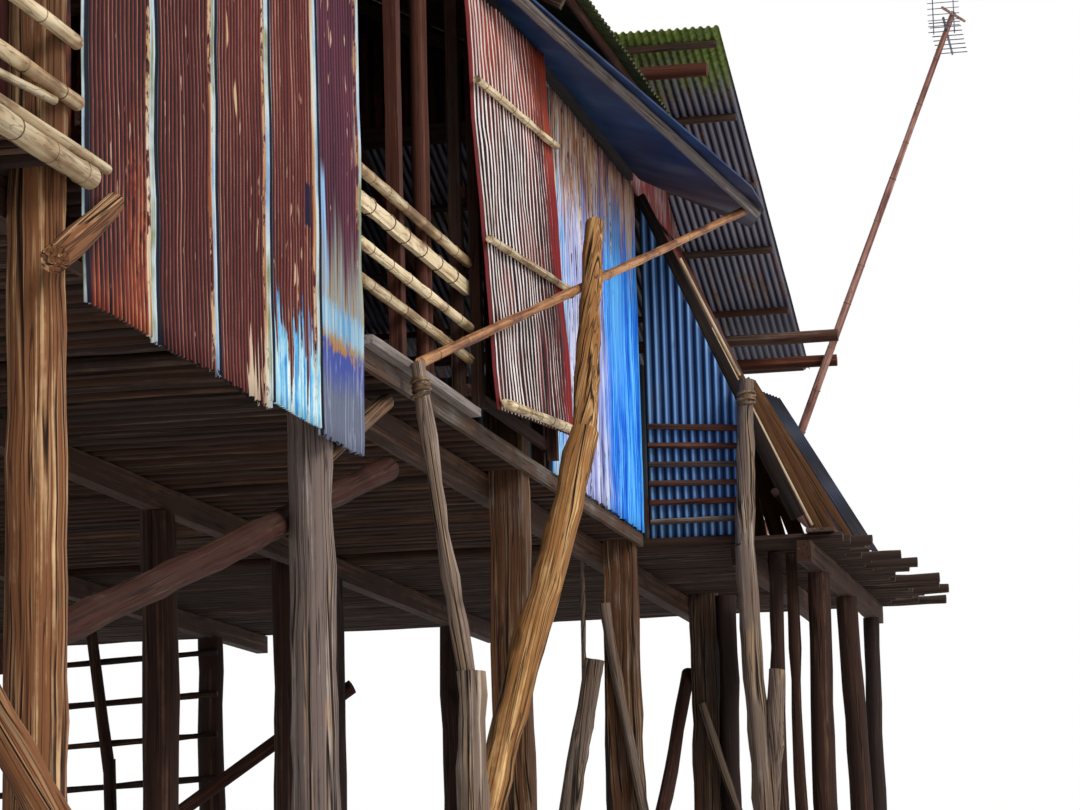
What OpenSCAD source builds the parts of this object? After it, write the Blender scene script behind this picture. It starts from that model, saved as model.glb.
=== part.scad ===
// A timber house on tall posts, with walls and roofs of corrugated iron sheet.
// X runs along the front, Y runs into the house, Z is up. The origin is the foot of the first front post.

/* [Posts] */
// Distance between the posts along the front
post_bay = 3850; // [3400:50:4400]
// Distance between the rows of posts, front to back
row_gap = 2100; // [1800:50:2400]
// Diameter of a main post at its foot
post_foot_d = 235; // [180:5:300]
// Diameter of a main post from the floor up, and the side of a square one
post_d = 210; // [160:5:250]
// Diameter of the thin deck posts
deck_post_d = 170; // [120:5:210]
// Height of the finished floor above the ground
floor_z = 3350; // [2800:50:4200]

/* [Floor] */
// Height of the main beams
beam_h = 150; // [110:5:200]
// Width of the main beams
beam_w = 100; // [80:5:140]
// Diameter of the round poles that carry the boards
joist_d = 76; // [60:2:100]
// Distance between those poles
joist_gap = 200; // [160:10:320]
// Distance between the poles of the open deck
deck_gap = 142; // [120:2:220]
// Thickness of the floor boards
board_t = 25; // [18:1:40]
// Width of a floor board
board_w = 260; // [180:10:320]
// Length of the open porch in front of the first post
porch_len = 1600; // [800:50:2200]

/* [Walls] */
// Height of the front wall above the floor
wall_h = 2500; // [2200:20:2800]
// Width of the wall studs and rails
stud = 70; // [50:5:90]
// Thickness of the rails that carry the sheets
girt_t = 30; // [20:2:45]
// How far the first sheets hang below the floor
skirt_drop = 600; // [300:10:700]
// Width of one sheet as it shows between laps
sheet_w = 798; // [720:6:860]
// Thickness that stands for the sheet iron
sheet_t = 4; // [3:0.5:6]
// Depth of the corrugation
wave_h = 18; // [12:1:22]
// Ridges in one sheet of the oxide-red wall
red_waves = 17; // [10:1:20]
// Ridges in one sheet of the pale-and-red wall
pale_waves = 9; // [7:1:14]
// Ridges in one sheet of the blue wall
blue_waves = 12; // [8:1:16]
// Ridges in one sheet of the hidden walls and the main roof
plain_waves = 8; // [7:1:12]
// Ridges in one sheet of the end roof
end_waves = 14; // [8:1:18]

/* [Opening] */
// Width of the doorway in the front wall
door_w = 2340; // [1800:10:2600]
// Diameter of the rail poles
rail_d = 56; // [40:2:80]
// Distance between the rails of the doorway
rail_gap = 185; // [140:5:240]

/* [Roof] */
// Rise of the main roof from eave to ridge
roof_rise = 2050; // [1500:50:2400]
// Overhang of the main roof beyond the front posts
eave_out = 600; // [400:10:800]
// Height of the eave above the top of the wall
eave_up = 280; // [200:10:400]
// Diameter of the roof poles
purlin_d = 60; // [50:2:80]
// Height of a rafter
rafter_h = 90; // [70:5:120]
// Width of a rafter
rafter_w = 60; // [45:5:80]

/* [End room] */
// Length of the end room and its deck beyond the fourth post
end_len = 5220; // [4600:20:6000]
// How far the deck stands out beyond the front posts
deck_out = 1600; // [1200:10:2000]
// How far the end roof stands out beyond the front posts
end_roof_out = 850; // [600:10:1100]
// Slope of the end roof, in degrees
end_pitch = 20.3; // [14:0.1:26]
// Height of the high edge of the end roof above the wall top
end_rise = 1130; // [900:10:1300]
// How far the awning stands out at its far end
awning_out = 960; // [700:10:1200]
// How far the slanted screen stands out at its foot
screen_out = 1100; // [800:10:1400]

/* [Hidden] */
$fn = 24;

// Clearance between pieces that touch
fit = 0.3;
rows = 4;
columns = 5;
house_d = (rows - 1) * row_gap;
// The front posts were set by eye, a little off the even bays
front_shift = [0, -210, 360, 190, 60];
even_xs = [for (i = [0:columns - 1]) i * post_bay];
front_xs = [for (i = [0:columns - 1]) even_xs[i] + front_shift[i]];
corner_x = front_xs[3];
end_x = corner_x + end_len;
end_wall_x = front_xs[4];
porch_x = -porch_len;
porch_post_x = porch_x + post_d / 2 + 20;
front_post_xs = concat([porch_post_x], front_xs);
rear_post_xs = concat([porch_post_x], even_xs);

board_bottom = floor_z - board_t;
joist_z = board_bottom - joist_d / 2;
beam_top = board_bottom - joist_d;
beam_bottom = beam_top - beam_h;
post_r = post_d / 2;
face_y = -post_r - fit;
rear_face_y = house_d + post_r + fit;
wall_top = floor_z + wall_h;
half_sheet = wave_h / 2 + sheet_t / 2;
lap_step = sheet_t + fit;
sheet_y = face_y - girt_t - fit - half_sheet;

red_count = 5;
left_x = 110;
left_end = left_x + red_count * sheet_w;
door_x = left_end;
door_end = door_x + door_w;
brown_w = 2250;
brown_end = door_end + brown_w;
blue_end = corner_x + 170;
return_x = blue_end + 150;

eave_z = wall_top + eave_up;
ridge_y = house_d / 2;
roof_y0 = -eave_out;
roof_pitch = atan(roof_rise / (ridge_y - roof_y0));
roof_x0 = porch_x - 100;
roof_x1 = corner_x - 90;
slope_len = (ridge_y - roof_y0) / cos(roof_pitch);
plate_d = 110;
rafter_top = -half_sheet - purlin_d - 2 * fit;
plate_n = rafter_top - rafter_h - fit - plate_d / 2;
// Height on the front roof slope, at distance y into the house and n square to the slope
function slope_z(y, n) = eave_z + ((y - roof_y0) * sin(roof_pitch) + n) / cos(roof_pitch);
plate_z = slope_z(0, plate_n);
ridge_pole_z = slope_z(ridge_y, plate_n);
post_top = plate_z - plate_d / 2 - fit;

end_roof_x0 = roof_x1 + 40;
end_roof_z = wall_top + end_rise;
end_roof_x1 = end_x - 560;
function end_under(x) = end_roof_z - (x - end_roof_x0) * tan(end_pitch) - half_sheet / cos(end_pitch);
end_purlin_bottom = (purlin_d + 2 * fit) / cos(end_pitch);
end_rafter_drop = (rafter_h + fit) / cos(end_pitch);
// Height of the underside of the end rafters
function end_rafter_z(x) = end_under(x) - end_purlin_bottom - end_rafter_drop;
end_plate_d = 100;
end_plate_z = end_rafter_z(end_wall_x) - end_plate_d / 2 / cos(end_pitch) - fit;

old_wood = [0.42, 0.30, 0.21];
dark_wood = [0.25, 0.17, 0.12];
red_wood = [0.40, 0.20, 0.13];
pale_wood = [0.66, 0.55, 0.40];
oxide_red = [0.42, 0.17, 0.14];
pale_red = [0.62, 0.48, 0.46];
sea_blue = [0.15, 0.42, 0.78];
deep_blue = [0.08, 0.14, 0.27];
zinc_grey = [0.36, 0.45, 0.52];
rust_brown = [0.38, 0.26, 0.19];
moss_grey = [0.36, 0.37, 0.26];

// Height of a corrugation that starts on a crest, in steps to each wave
function wave_at(i, steps) = wave_h / 2 * cos(360 * (i + (steps == 4 ? 0.5 : 0)) / steps) / cos(steps == 4 ? 45 : 0);
// Outline of a corrugated sheet with n ridges, each pitch wide, as a band of constant thickness
module sheet_band(n, pitch, steps) {
    top = [for (i = [0:n * steps]) [i * pitch / steps, wave_at(i, steps) + sheet_t / 2]];
    bottom = [for (i = [n * steps:-1:0]) [i * pitch / steps, wave_at(i, steps) - sheet_t / 2]];
    polygon(concat(top, bottom));
}
// A run of sheets side by side along X, every second one lapped over its neighbours by one ridge.
// n ridges fill a full sheet. The sheets stand on Z and face -Y.
module sheet_run(length, h, n, steps = 6, fall = 0, jag = 0) {
    pitch = sheet_w / n;
    total = max(1, round(length / pitch));
    count = ceil(total / n);
    for (k = [0:count - 1]) {
        lap = k % 2;
        first = k * n - lap;
        last = min(total, (k + 1) * n + lap);
        drop = jag * (0.5 + 0.5 * sin(137 * k + 40));
        translate([first * pitch, -lap * lap_step, drop])
            linear_extrude(height = h - drop - fall * k) sheet_band(last - first, pitch, steps);
    }
}
// A run of roof sheets: the waves lie across X and the sheets run l along Y, with the top face up
module roof_run(length, l, n, steps = 4, jag = 0) {
    translate([0, l, 0]) rotate([90, 0, 0]) mirror([0, 1, 0]) sheet_run(length, l, n, steps, 0, jag);
}
// A round pole from a to b
module pole(a, b, d1, d2) {
    v = b - a;
    len = norm(v);
    translate(a) rotate([0, acos(v[2] / len), atan2(v[1], v[0])]) cylinder(h = len, d1 = d1, d2 = d2);
}
// A small round pole, cut as an octagon
module light_pole(a, b, d) {
    v = b - a;
    len = norm(v);
    translate(a) rotate([0, acos(v[2] / len), atan2(v[1], v[0])]) cylinder(h = len, d = d, $fn = 8);
}
// A round post, tapered up to the floor and straight above it
module round_post(x, y, top) {
    straight_z = min(beam_bottom, top);
    translate([x, y, 0]) cylinder(h = straight_z, d1 = post_foot_d, d2 = post_d);
    if (top > beam_bottom) translate([x, y, straight_z]) cylinder(h = top - straight_z, d = post_d);
}
module square_post(x, y, top) {
    translate([x - post_r, y - post_r, 0]) cube([post_d, post_d, top]);
}
// Radius of a round post at height z
function post_r_at(z) = (post_foot_d + (post_d - post_foot_d) * min(1, z / beam_bottom)) / 2;
// Poles that stand in the ground are cut off level with it
module planted() {
    intersection() {
        children();
        translate([2 * porch_x, -4 * deck_out, 0]) cube([end_x - 4 * porch_x, house_d + 8 * deck_out, 3 * wall_top]);
    }
}
// Joists and floor boards leave room for the posts that go through the floor
function clear_of(x, xs, gap) = min([for (c = xs) abs(x - c)]) > gap;

module front_posts() {
    color(old_wood) {
        for (x = [porch_post_x, front_xs[0], front_xs[1]]) round_post(x, 0, post_top);
        for (i = [2, 3]) square_post(front_xs[i], 0, post_top);
        square_post(front_xs[4], 0, end_plate_z - end_plate_d / 2 - fit);
    }
}
module middle_posts() {
    color(red_wood)
    for (r = [1:rows - 2]) for (x = even_xs) round_post(x, r * row_gap, beam_bottom - fit);
}
module rear_posts() {
    color(dark_wood)
    for (x = rear_post_xs) round_post(x, house_d, x < roof_x1 ? post_top : end_plate_z - end_plate_d / 2 - fit);
}
deck_beam_y = 320 - deck_out;
deck_post_xs = [corner_x + 1020, end_wall_x - 900];
module deck_posts() {
    color(old_wood) planted() {
        for (i = [0, 1]) pole([deck_post_xs[i], deck_beam_y - i * 60, -30],
            [deck_post_xs[i], deck_beam_y, beam_bottom - i * 60 / beam_bottom * (deck_post_d - 10) / 2 - fit], deck_post_d + 20, deck_post_d - 10);
        pole([end_x - 620, deck_beam_y, 0], [end_x - 620, deck_beam_y, beam_bottom - fit], deck_post_d - 20, deck_post_d - 40);
    }
}
// Later posts set beside the old ones
module under_posts() {
    d = post_d - 50;
    // under the last floor pole, and beside the front post of the end wall
    joist_x = porch_x + joist_d / 2 + joist_gap * floor((corner_x - joist_room - porch_x - joist_d / 2) / joist_gap);
    color(dark_wood) {
        pole([joist_x, row_gap + post_foot_d + 70, 0], [joist_x, row_gap + post_foot_d + 70, beam_top - fit], d, d);
        pole([end_wall_x, -post_r - fit - d / 2, 0], [end_wall_x, -post_r - fit - d / 2, beam_top - fit], d, d);
        pole([end_wall_x, 760, 0], [end_wall_x, 760, beam_top - fit], d, d);
        // two thin ones under deck poles
        pole([return_x + 4 * deck_gap - 60, 620 - deck_out, 0], [return_x + 4 * deck_gap, 620 - deck_out, beam_top - 0.7], d - 40, d - 60);
        pole([return_x + 5 * deck_gap - 40, 480 - deck_out, 0], [return_x + 5 * deck_gap, 520 - deck_out, beam_top - 0.9], d - 70, d - 80);
    }
}
module beam(y, x0, x1) {
    translate([x0, y - beam_w / 2, beam_bottom]) cube([x1 - x0, beam_w, beam_h]);
}
front_beam_y = -face_y + beam_w / 2;
rear_beam_y = house_d + face_y - beam_w / 2;
module front_beam() { color(dark_wood) beam(front_beam_y, porch_x, end_x); }
module middle_beams() {
    color(dark_wood) for (r = [1:rows - 2]) beam(r * row_gap, porch_x, end_x);
}
module rear_beam() { color(dark_wood) beam(rear_beam_y, porch_x, end_x); }
module deck_beams() {
    color(old_wood) {
        beam(deck_beam_y, corner_x + 240, end_x - 120);
        beam(-deck_out / 2, return_x - joist_d / 2, end_x - 300);
    }
}
joist_room = post_r + joist_d / 2 + fit;
module floor_joists() {
    color(rust_brown)
    for (x = [porch_x + joist_d / 2 : joist_gap : corner_x - joist_room]) if (clear_of(x, front_post_xs, joist_room)) {
        rear = clear_of(x, rear_post_xs, joist_room) ? house_d - face_y : house_d + face_y;
        translate([x, rear, joist_z]) rotate([90, 0, 0]) cylinder(h = rear - face_y, d = joist_d, $fn = 8);
    }
}
module deck_poles() {
    color(rust_brown)
    for (x = [return_x - deck_gap : deck_gap : end_x]) {
        deck = clear_of(x, front_xs, joist_room) && x > return_x + deck_post_d / 2;
        inner = deck ? -deck_out - 150 * sin(x) * sin(7 * x) : x == return_x ? sheet_y - half_sheet - return_reach
            : clear_of(x, front_xs, joist_room) ? face_y : -face_y;
        rear = clear_of(x, even_xs, joist_room) ? house_d - face_y : house_d + face_y;
        translate([x, rear, joist_z]) rotate([90, 0, 0]) cylinder(h = rear - inner, d = joist_d, $fn = 8);
    }
}
// Boards along the front, cut round the posts that stand in them
module floor_boards() {
    gap = 4;
    hole_r = post_r + 4 * fit;
    count = floor((house_d - 2 * face_y) / board_w);
    color(old_wood) difference() {
        for (i = [0:count - 1])
            translate([porch_x, face_y + i * board_w, board_bottom])
                cube([end_x - porch_x, i == count - 1 ? house_d - 2 * face_y - i * board_w : board_w - gap, board_t]);
        for (i = [0:columns - 1]) {
            translate([front_xs[i], 0, board_bottom - 1]) {
                if (i < 2) cylinder(h = board_t + 2, r = hole_r);
                else translate([-hole_r, -hole_r, 0]) cube([2 * hole_r, 2 * hole_r, board_t + 2]);
            }
            translate([even_xs[i], house_d, board_bottom - 1]) cylinder(h = board_t + 2, r = hole_r);
        }
        for (y = [0, house_d]) translate([porch_post_x, y, board_bottom - 1]) cylinder(h = board_t + 2, r = hole_r);
    }
}
module deck_boards() {
    color(old_wood)
    for (y = [120 - deck_out, -deck_out / 2])
        translate([return_x + 60, y, board_bottom + fit]) cube([end_x - return_x - 460, board_w - 60, board_t]);
}
rim_h = 100;
module rim_boards() {
    color(old_wood) {
        translate([left_end + fit, face_y - girt_t, floor_z - rim_h]) cube([blue_end - left_end - fit, girt_t, rim_h]);
        translate([porch_x, face_y - girt_t, floor_z - rim_h]) cube([porch_len, girt_t, rim_h]);
        translate([door_x + 10, face_y - girt_t - 60, floor_z + fit]) cube([door_w + 20, girt_t + 60 - fit, sill_h]);
    }
}
module left_front_sheets() {
    color(oxide_red) translate([left_x, sheet_y, floor_z - skirt_drop])
        sheet_run(red_count * sheet_w, wall_h + skirt_drop, red_waves, 6, 0, 60);
}
brown_stand = 60;
brown_lean = 2.2;
brown_drop_y = (wall_h - 90) * sin(brown_lean) + fit;
brown_turn = 4.5;
// The pale-and-red sheets hang askew: their foot stands out and their top leans towards the doorway
module on_brown_sheets() {
    translate([door_end, sheet_y - brown_stand - brown_drop_y, floor_z + 30]) rotate([-brown_lean, -brown_turn, 0]) children();
}
module brown_front_sheets() {
    color(pale_red) on_brown_sheets() sheet_run(brown_w, wall_h - 90, pale_waves);
}
module blue_front_sheets() {
    color(sea_blue) translate([brown_end, sheet_y, floor_z - 20])
        sheet_run(blue_end - brown_end, wall_h + 40, blue_waves);
}
screen_top_z = wall_top;
screen_y0 = sheet_y + 80;
screen_lean = atan(screen_out / (wall_h - 40));
screen_len = (wall_h - 40) / cos(screen_lean);
return_reach = 740;
module grey_return_wall() {
    reach = return_reach;
    color(zinc_grey) intersection() {
        translate([return_x, sheet_y - half_sheet, board_bottom + fit]) rotate([0, 0, -90])
            sheet_run(reach, wall_h + 60, red_waves - 4);
        translate([return_x + 100, screen_y0 - 60, screen_top_z]) rotate([90, 0, -90]) linear_extrude(height = 200)
            polygon([[0, 0], [0, -wall_h - 60], [reach + 200, -wall_h - 60], [reach + 200, -(reach + 200) / tan(screen_lean)]]);
    }
}
rear_sheet_y = house_d - sheet_y;
module rear_wall() {
    color(zinc_grey) {
        translate([left_x, rear_sheet_y, floor_z]) mirror([0, 1, 0]) sheet_run(blue_end - left_x, wall_h, plain_waves, 4);
        translate([blue_end + 60, rear_sheet_y, floor_z]) mirror([0, 1, 0])
            sheet_run(end_wall_x + post_r - blue_end, wall_h, plain_waves, 4, sheet_w * tan(end_pitch) * 0.72, 0);
    }
}
end_wall_len = house_d - 2 * face_y - 2 * half_sheet;
module left_end_wall() {
    color(oxide_red) translate([post_r + fit + half_sheet + lap_step, house_d - face_y - half_sheet, floor_z + fit])
        rotate([0, 0, -90]) sheet_run(end_wall_len, wall_h, plain_waves, 4);
}
module right_end_wall() {
    wall = end_rafter_z(end_wall_x + post_d) - floor_z - end_plate_d;
    color(zinc_grey) translate([end_wall_x + post_r + girt_t + half_sheet + lap_step, face_y + half_sheet, floor_z + fit])
        rotate([0, 0, 90]) sheet_run(end_wall_len, wall, plain_waves, 4);
}
module end_front_sheets() {
    reach = (end_under(blue_end) - wall_top - 120) / tan(end_pitch);
    color(pale_red) intersection() {
        translate([blue_end + 60, sheet_y + 40, wall_top + 60]) sheet_run(reach, end_rise, red_waves - 4);
        translate([blue_end, sheet_y + 140, wall_top + 60]) rotate([90, 0, 0]) linear_extrude(height = 200)
            polygon([[0, 0], [reach, 0], [0, reach * tan(end_pitch) - 10]]);
    }
}
module girt(x0, x1, z) {
    translate([x0, face_y - girt_t, z]) cube([x1 - x0, girt_t, stud]);
}
girt_zs = [120, wall_h / 2, wall_h - stud - 30];
module wall_frame() {
    color(dark_wood) {
        for (z = girt_zs) {
            girt(left_x + 10, left_end - 10, floor_z + z);
            girt(door_end + 20, blue_end, floor_z + z);
            translate([left_x + 10, rear_face_y, floor_z + z]) cube([blue_end - left_x - 10, girt_t, stud]);
        }
        for (z = [girt_zs[0], girt_zs[1]])
            translate([blue_end + 60, rear_face_y, floor_z + z]) cube([end_wall_x + post_r - blue_end - 60, girt_t, stud]);
        for (x = [left_end - stud, door_end + 20, brown_end - stud])
            translate([x, face_y + fit, floor_z]) cube([stud, stud, post_top - floor_z]);
        for (x = [door_end + stud, brown_end - stud - 40])
            translate([x, face_y - girt_t - fit - brown_stand, floor_z + 60]) cube([stud, brown_stand, wall_h - 120]);
    }
}
door_post_xs = [door_x + 960, door_x + 1540, door_x + 1640];
module door_frame() {
    color(red_wood) {
        translate([door_x + 10, face_y + fit, floor_z + fit]) cube([stud, stud, post_top - floor_z]);
        translate([door_post_xs[0], face_y + fit, floor_z + fit]) cube([stud + 20, stud, post_top - floor_z]);
        for (x = [door_post_xs[1], door_post_xs[2]])
            translate([x, face_y + fit + stud / 2, floor_z + fit]) cylinder(h = post_top - floor_z, d = stud);
    }
}
rail_y = face_y - rail_d / 2;
module door_rails() {
    color(pale_wood) {
        for (i = [0:3]) if (i != 2)
            pole([door_x + 12, rail_y, floor_z + 330 + i * rail_gap], [door_end + 65, rail_y, floor_z + 330 + i * rail_gap],
                rail_d, rail_d);
        translate([door_x + 12, face_y - girt_t, floor_z + 330 + 2 * rail_gap]) cube([door_w + 53, girt_t, 80]);
    }
}
batten_d = 44;
// Split bamboo tied over the leaning sheets, which lie further out towards their foot
module sheet_battens() {
    color(pale_wood) on_brown_sheets()
    {
        y = -half_sheet - lap_step - batten_d / 2 - fit;
        for (z = [wall_h * 0.38, wall_h * 0.74]) pole([-40, y, z], [brown_w - 60, y, z - 30], batten_d, batten_d);
        pole([15, y - 4, 30], [brown_w * 0.84, y - 4, 24], batten_d + 8, batten_d + 8);
    }
}
porch_rail_zs = [-95, 190, 420, 760];
module porch_rails() {
    color(pale_wood) {
        for (z = porch_rail_zs) {
            d = z < 0 ? rail_d + 30 : rail_d;
            y = z < 0 ? face_y - girt_t - fit - d / 2 : face_y - d / 2;
            pole([porch_x, y, floor_z + z], [left_x - 40, y, floor_z + z], d, d);
        }
    }
}
// The raker of the porch stands against a floor pole
raker_d = 145;
raker_x = porch_x + joist_d / 2 + 6 * joist_gap;
raker_top = beam_top - fit;
module porch_log() {
    color(old_wood) {
        pole([-420, face_y - 120, floor_z - 500], [280, sheet_y - half_sheet - fit - 45, floor_z - 150], 110, 90);
        planted() pole([raker_x, -820, -130], [raker_x, 1190, raker_top - raker_d / 2 * 0.51], raker_d, raker_d);
    }
}
// Rails between the far posts, and the crooked prop that they meet
module rear_rails() {
    d = rail_d - 4;
    y0 = 2 * row_gap - 100;
    prop_r = 55;
    prop_x = return_x + deck_gap * round((even_xs[4] - 216 - return_x) / deck_gap);
    color(dark_wood) {
        for (z = [1860, 2220, 2560, 2910]) {
            x = even_xs[4] - post_r_at(z) - d / 2 - fit;
            pole([x, y0, z + 60], [x, house_d + 120, z - 40], d, d);
        }
        pole([prop_x, house_d - 1320, 0], [prop_x, house_d - 1290, 2100], 2 * prop_r, 2 * prop_r - 10);
        pole([prop_x, house_d - 1290, 2000], [prop_x, house_d - 1120, beam_top - fit - 6.4], 2 * prop_r - 10, 2 * prop_r - 20);
    }
}
deck_rail_d = 42;
deck_rail_x = return_x - half_sheet - fit - deck_rail_d / 2;
module deck_rails() {
    d = deck_rail_d;
    x = deck_rail_x;
    color(old_wood)
    for (i = [0:5]) {
        z = floor_z + 90 + i * 125;
        pole([x, sheet_y - 30, z + 15 * i], [x, sheet_y - return_reach, z + 4 * i], d, d);
    }
}
module main_slope() {
    translate([roof_x0, roof_y0, eave_z]) rotate([roof_pitch, 0, 0]) roof_run(roof_x1 - roof_x0, slope_len - 8, plain_waves, 4, 40);
}
module main_roof_front() { color(rust_brown) main_slope(); }
module main_roof_rear() { color(rust_brown) translate([0, 2 * ridge_y, 0]) mirror([0, 1, 0]) main_slope(); }
end_roof_w = house_d + 2 * end_roof_out;
end_roof_len = (end_roof_x1 - end_roof_x0) / cos(end_pitch);
module end_roof() {
    color(moss_grey) translate([end_roof_x0, -end_roof_out, end_roof_z]) rotate([0, end_pitch, 0])
        mirror([1, -1, 0]) roof_run(end_roof_w, end_roof_len, end_waves, 4, 60);
}
tie_h = 120;
rafter_xs = [roof_x0 + 150, even_xs[0], even_xs[1], even_xs[2], roof_x1 - 190];
module rafter_pair(x) {
    for (side = [0, 1]) translate([0, side * house_d, 0]) mirror([0, side, 0])
        translate([x - rafter_w / 2, roof_y0, eave_z]) rotate([roof_pitch, 0, 0])
            translate([0, 60, rafter_top - rafter_h]) cube([rafter_w, slope_len - 60 - rafter_h - side * 0 - 20, rafter_h]);
}
module roof_frame() {
    plate_x1 = roof_x1 - 30;
    color(dark_wood) {
        for (y = [0, house_d]) pole([porch_x, y, plate_z], [plate_x1, y, plate_z], plate_d, plate_d);
        pole([porch_x, ridge_y, ridge_pole_z], [plate_x1, ridge_y, ridge_pole_z], plate_d, plate_d);
        for (x = rafter_xs) {
            rafter_pair(x);
            tie_x = x + rafter_w / 2 + fit;
            tie_z = plate_z + plate_d / 2 + fit;
            translate([tie_x, -plate_d / 2, tie_z]) cube([rafter_w, house_d + plate_d, tie_h - 20]);
            translate([tie_x, ridge_y - rafter_h / 2, tie_z + tie_h - 20 + fit])
                cube([rafter_w, rafter_h, ridge_pole_z - plate_d / 2 - tie_z - tie_h + 20 - 2 * fit]);
        }
    }
}
module roof_purlins() {
    count = 5;
    color(old_wood)
    for (side = [0, 1]) translate([0, side * house_d, 0]) mirror([0, side, 0])
        translate([roof_x0, roof_y0, eave_z]) rotate([roof_pitch, 0, 0])
            for (i = [0:count - 1])
                translate([60, 120 + i * (slope_len - 260) / (count - 1), rafter_top + fit + purlin_d / 2])
                    rotate([0, 90, 0]) cylinder(h = roof_x1 - roof_x0 - 100, d = purlin_d, $fn = 8);
}
end_purlins = 6;
module end_roof_frame() {
    color(red_wood) {
        translate([end_roof_x0, 0, end_roof_z]) rotate([0, end_pitch, 0]) {
            for (i = [0:end_purlins - 1])
                translate([160 + i * (end_roof_len - 300) / (end_purlins - 1), -end_roof_out + 40, -half_sheet - fit - purlin_d / 2])
                    rotate([-90, 0, 0]) cylinder(h = end_roof_w - 80, d = purlin_d, $fn = 8);
            for (r = [0:rows - 1])
                translate([60, r * row_gap - rafter_w / 2, -half_sheet - 2 * fit - purlin_d - rafter_h])
                    cube([end_roof_len - 120, rafter_w, rafter_h]);
        }
        pole([end_wall_x, -end_roof_out - 350, end_plate_z], [end_wall_x, house_d + 300, end_plate_z], end_plate_d, end_plate_d);
        head_x = end_roof_x0 + 140;
        head_z = end_rafter_z(head_x) - end_plate_d / 2 / cos(end_pitch) - fit;
        pole([head_x, -end_roof_out + 120, head_z], [head_x, house_d + end_roof_out - 120, head_z], end_plate_d, end_plate_d);
        for (y = [0, house_d]) translate([head_x - rafter_w / 2, y - rafter_w / 2, post_top + fit])
            cube([rafter_w, rafter_w, head_z - end_plate_d / 2 - post_top - 2 * fit]);
    }
}
// The triangle of sheets above the wall plate at each end of the main roof
module gable_face(x, z0) {
    inner_y = ridge_y - roof_y0;
    translate([x, 0, 0]) intersection() {
        translate([half_sheet, -200, z0]) rotate([0, 0, 90]) sheet_run(house_d + 400, ridge_pole_z - z0 + 300, plain_waves, 4);
        translate([-100, 0, 0]) rotate([90, 0, 90]) linear_extrude(height = 200)
            polygon([[ridge_y - (slope_z(ridge_y, plate_n - 60) - z0) / tan(roof_pitch), z0],
                [ridge_y + (slope_z(ridge_y, plate_n - 60) - z0) / tan(roof_pitch), z0],
                [ridge_y, slope_z(ridge_y, plate_n - 60)]]);
    }
}
module gable_walls() {
    color(oxide_red) {
        for (x = [rafter_xs[1], rafter_xs[4]])
            gable_face(x + rafter_w * 1.5 + 2 * fit, plate_z + plate_d / 2 + 60);
    }
}
awning_pitch = 17.7;
awning_t = 12;
awning_x0 = door_x + 1200;
awning_x1 = blue_end + 180;
awning_z = wall_top + 130;
awning_y0 = sheet_y - half_sheet - lap_step;
module awning() {
    color(deep_blue)
    translate([awning_x0, awning_y0, awning_z]) rotate([-180 + awning_pitch, 0, 0]) translate([0, 0, -awning_t])
        linear_extrude(height = awning_t)
            polygon([[0, 0], [awning_x1 - awning_x0, 0], [awning_x1 - awning_x0 + 900, awning_out - 240],
                [awning_x1 - awning_x0, awning_out], [awning_x1 - awning_x0 - 760, awning_out + 20], [400, 60]]);
}
// Height of the awning's underside at y
function awning_under(y) = awning_z + (y - awning_y0) * tan(awning_pitch);
awning_beam_d = 70;
awning_beam_y0 = awning_y0 - 90;
awning_beam_y1 = awning_y0 - awning_out * cos(awning_pitch) + 60;
awning_beam_drop = awning_beam_d / 2 / cos(awning_pitch) + fit;
awning_beam_a = [awning_x0 + 700, awning_beam_y0, awning_under(awning_beam_y0) - awning_beam_drop];
awning_beam_b = [awning_x1, awning_beam_y1, awning_under(awning_beam_y1) - awning_beam_drop];
module awning_beam() {
    color(zinc_grey) {
        pole(awning_beam_a, awning_beam_b, awning_beam_d, awning_beam_d);
        // the ledger on the posts that the awning hangs from
        translate([awning_x0, awning_y0 + fit, awning_z - 60]) cube([corner_x + post_r - awning_x0, face_y - awning_y0 - fit, stud]);
    }
}
sill_h = 45;
prop_d = 56;
// The prop stands on the sill plank and is tied to the side of the beam near its outer end
prop_tie = awning_beam_a + 0.985 * (awning_beam_b - awning_beam_a);
prop_foot_xy = [door_x + 1010, face_y - 80];
prop_side = cross(awning_beam_b - awning_beam_a, prop_tie - [prop_foot_xy[0], prop_foot_xy[1], floor_z]);
prop_at = prop_tie - prop_side / norm(prop_side) * (awning_beam_d / 2 + prop_d / 2 + fit);
prop_pitch = atan((prop_at[2] - floor_z) / (prop_at[0] - prop_foot_xy[0]));
prop_foot = [prop_foot_xy[0], prop_foot_xy[1], floor_z + sill_h + 2 * fit + prop_d / 2 * cos(prop_pitch)];
prop_head = prop_at + (prop_at - prop_foot) / norm(prop_at - prop_foot) * 60;
module awning_prop() {
    color(rust_brown) pole(prop_foot, prop_head, prop_d, prop_d);
}
screen_w = 2100;
module slanted_screen() {
    color(pale_red)
    translate([return_x + 60, screen_y0 - 60, screen_top_z]) rotate([-(90 + screen_lean), 0, 0])
        roof_run(screen_w, screen_len, plain_waves + 4, 6, 70);
}
module screen_frame() {
    rail = 60;
    color(dark_wood)
    for (f = [0.03, 0.5, 0.9]) {
        // a rail behind the screen, seated on its inner face
        s = f * screen_len;
        y = screen_y0 - 60 - s * sin(screen_lean) + (half_sheet + lap_step + rail / 2 + fit) * cos(screen_lean);
        z = screen_top_z - s * cos(screen_lean) - (half_sheet + lap_step + rail / 2 + fit) * sin(screen_lean);
        pole([return_x + half_sheet + fit, y, z], [return_x + screen_w + 40, y, z], rail, rail);
    }
}
brace_d = 130;
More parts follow.
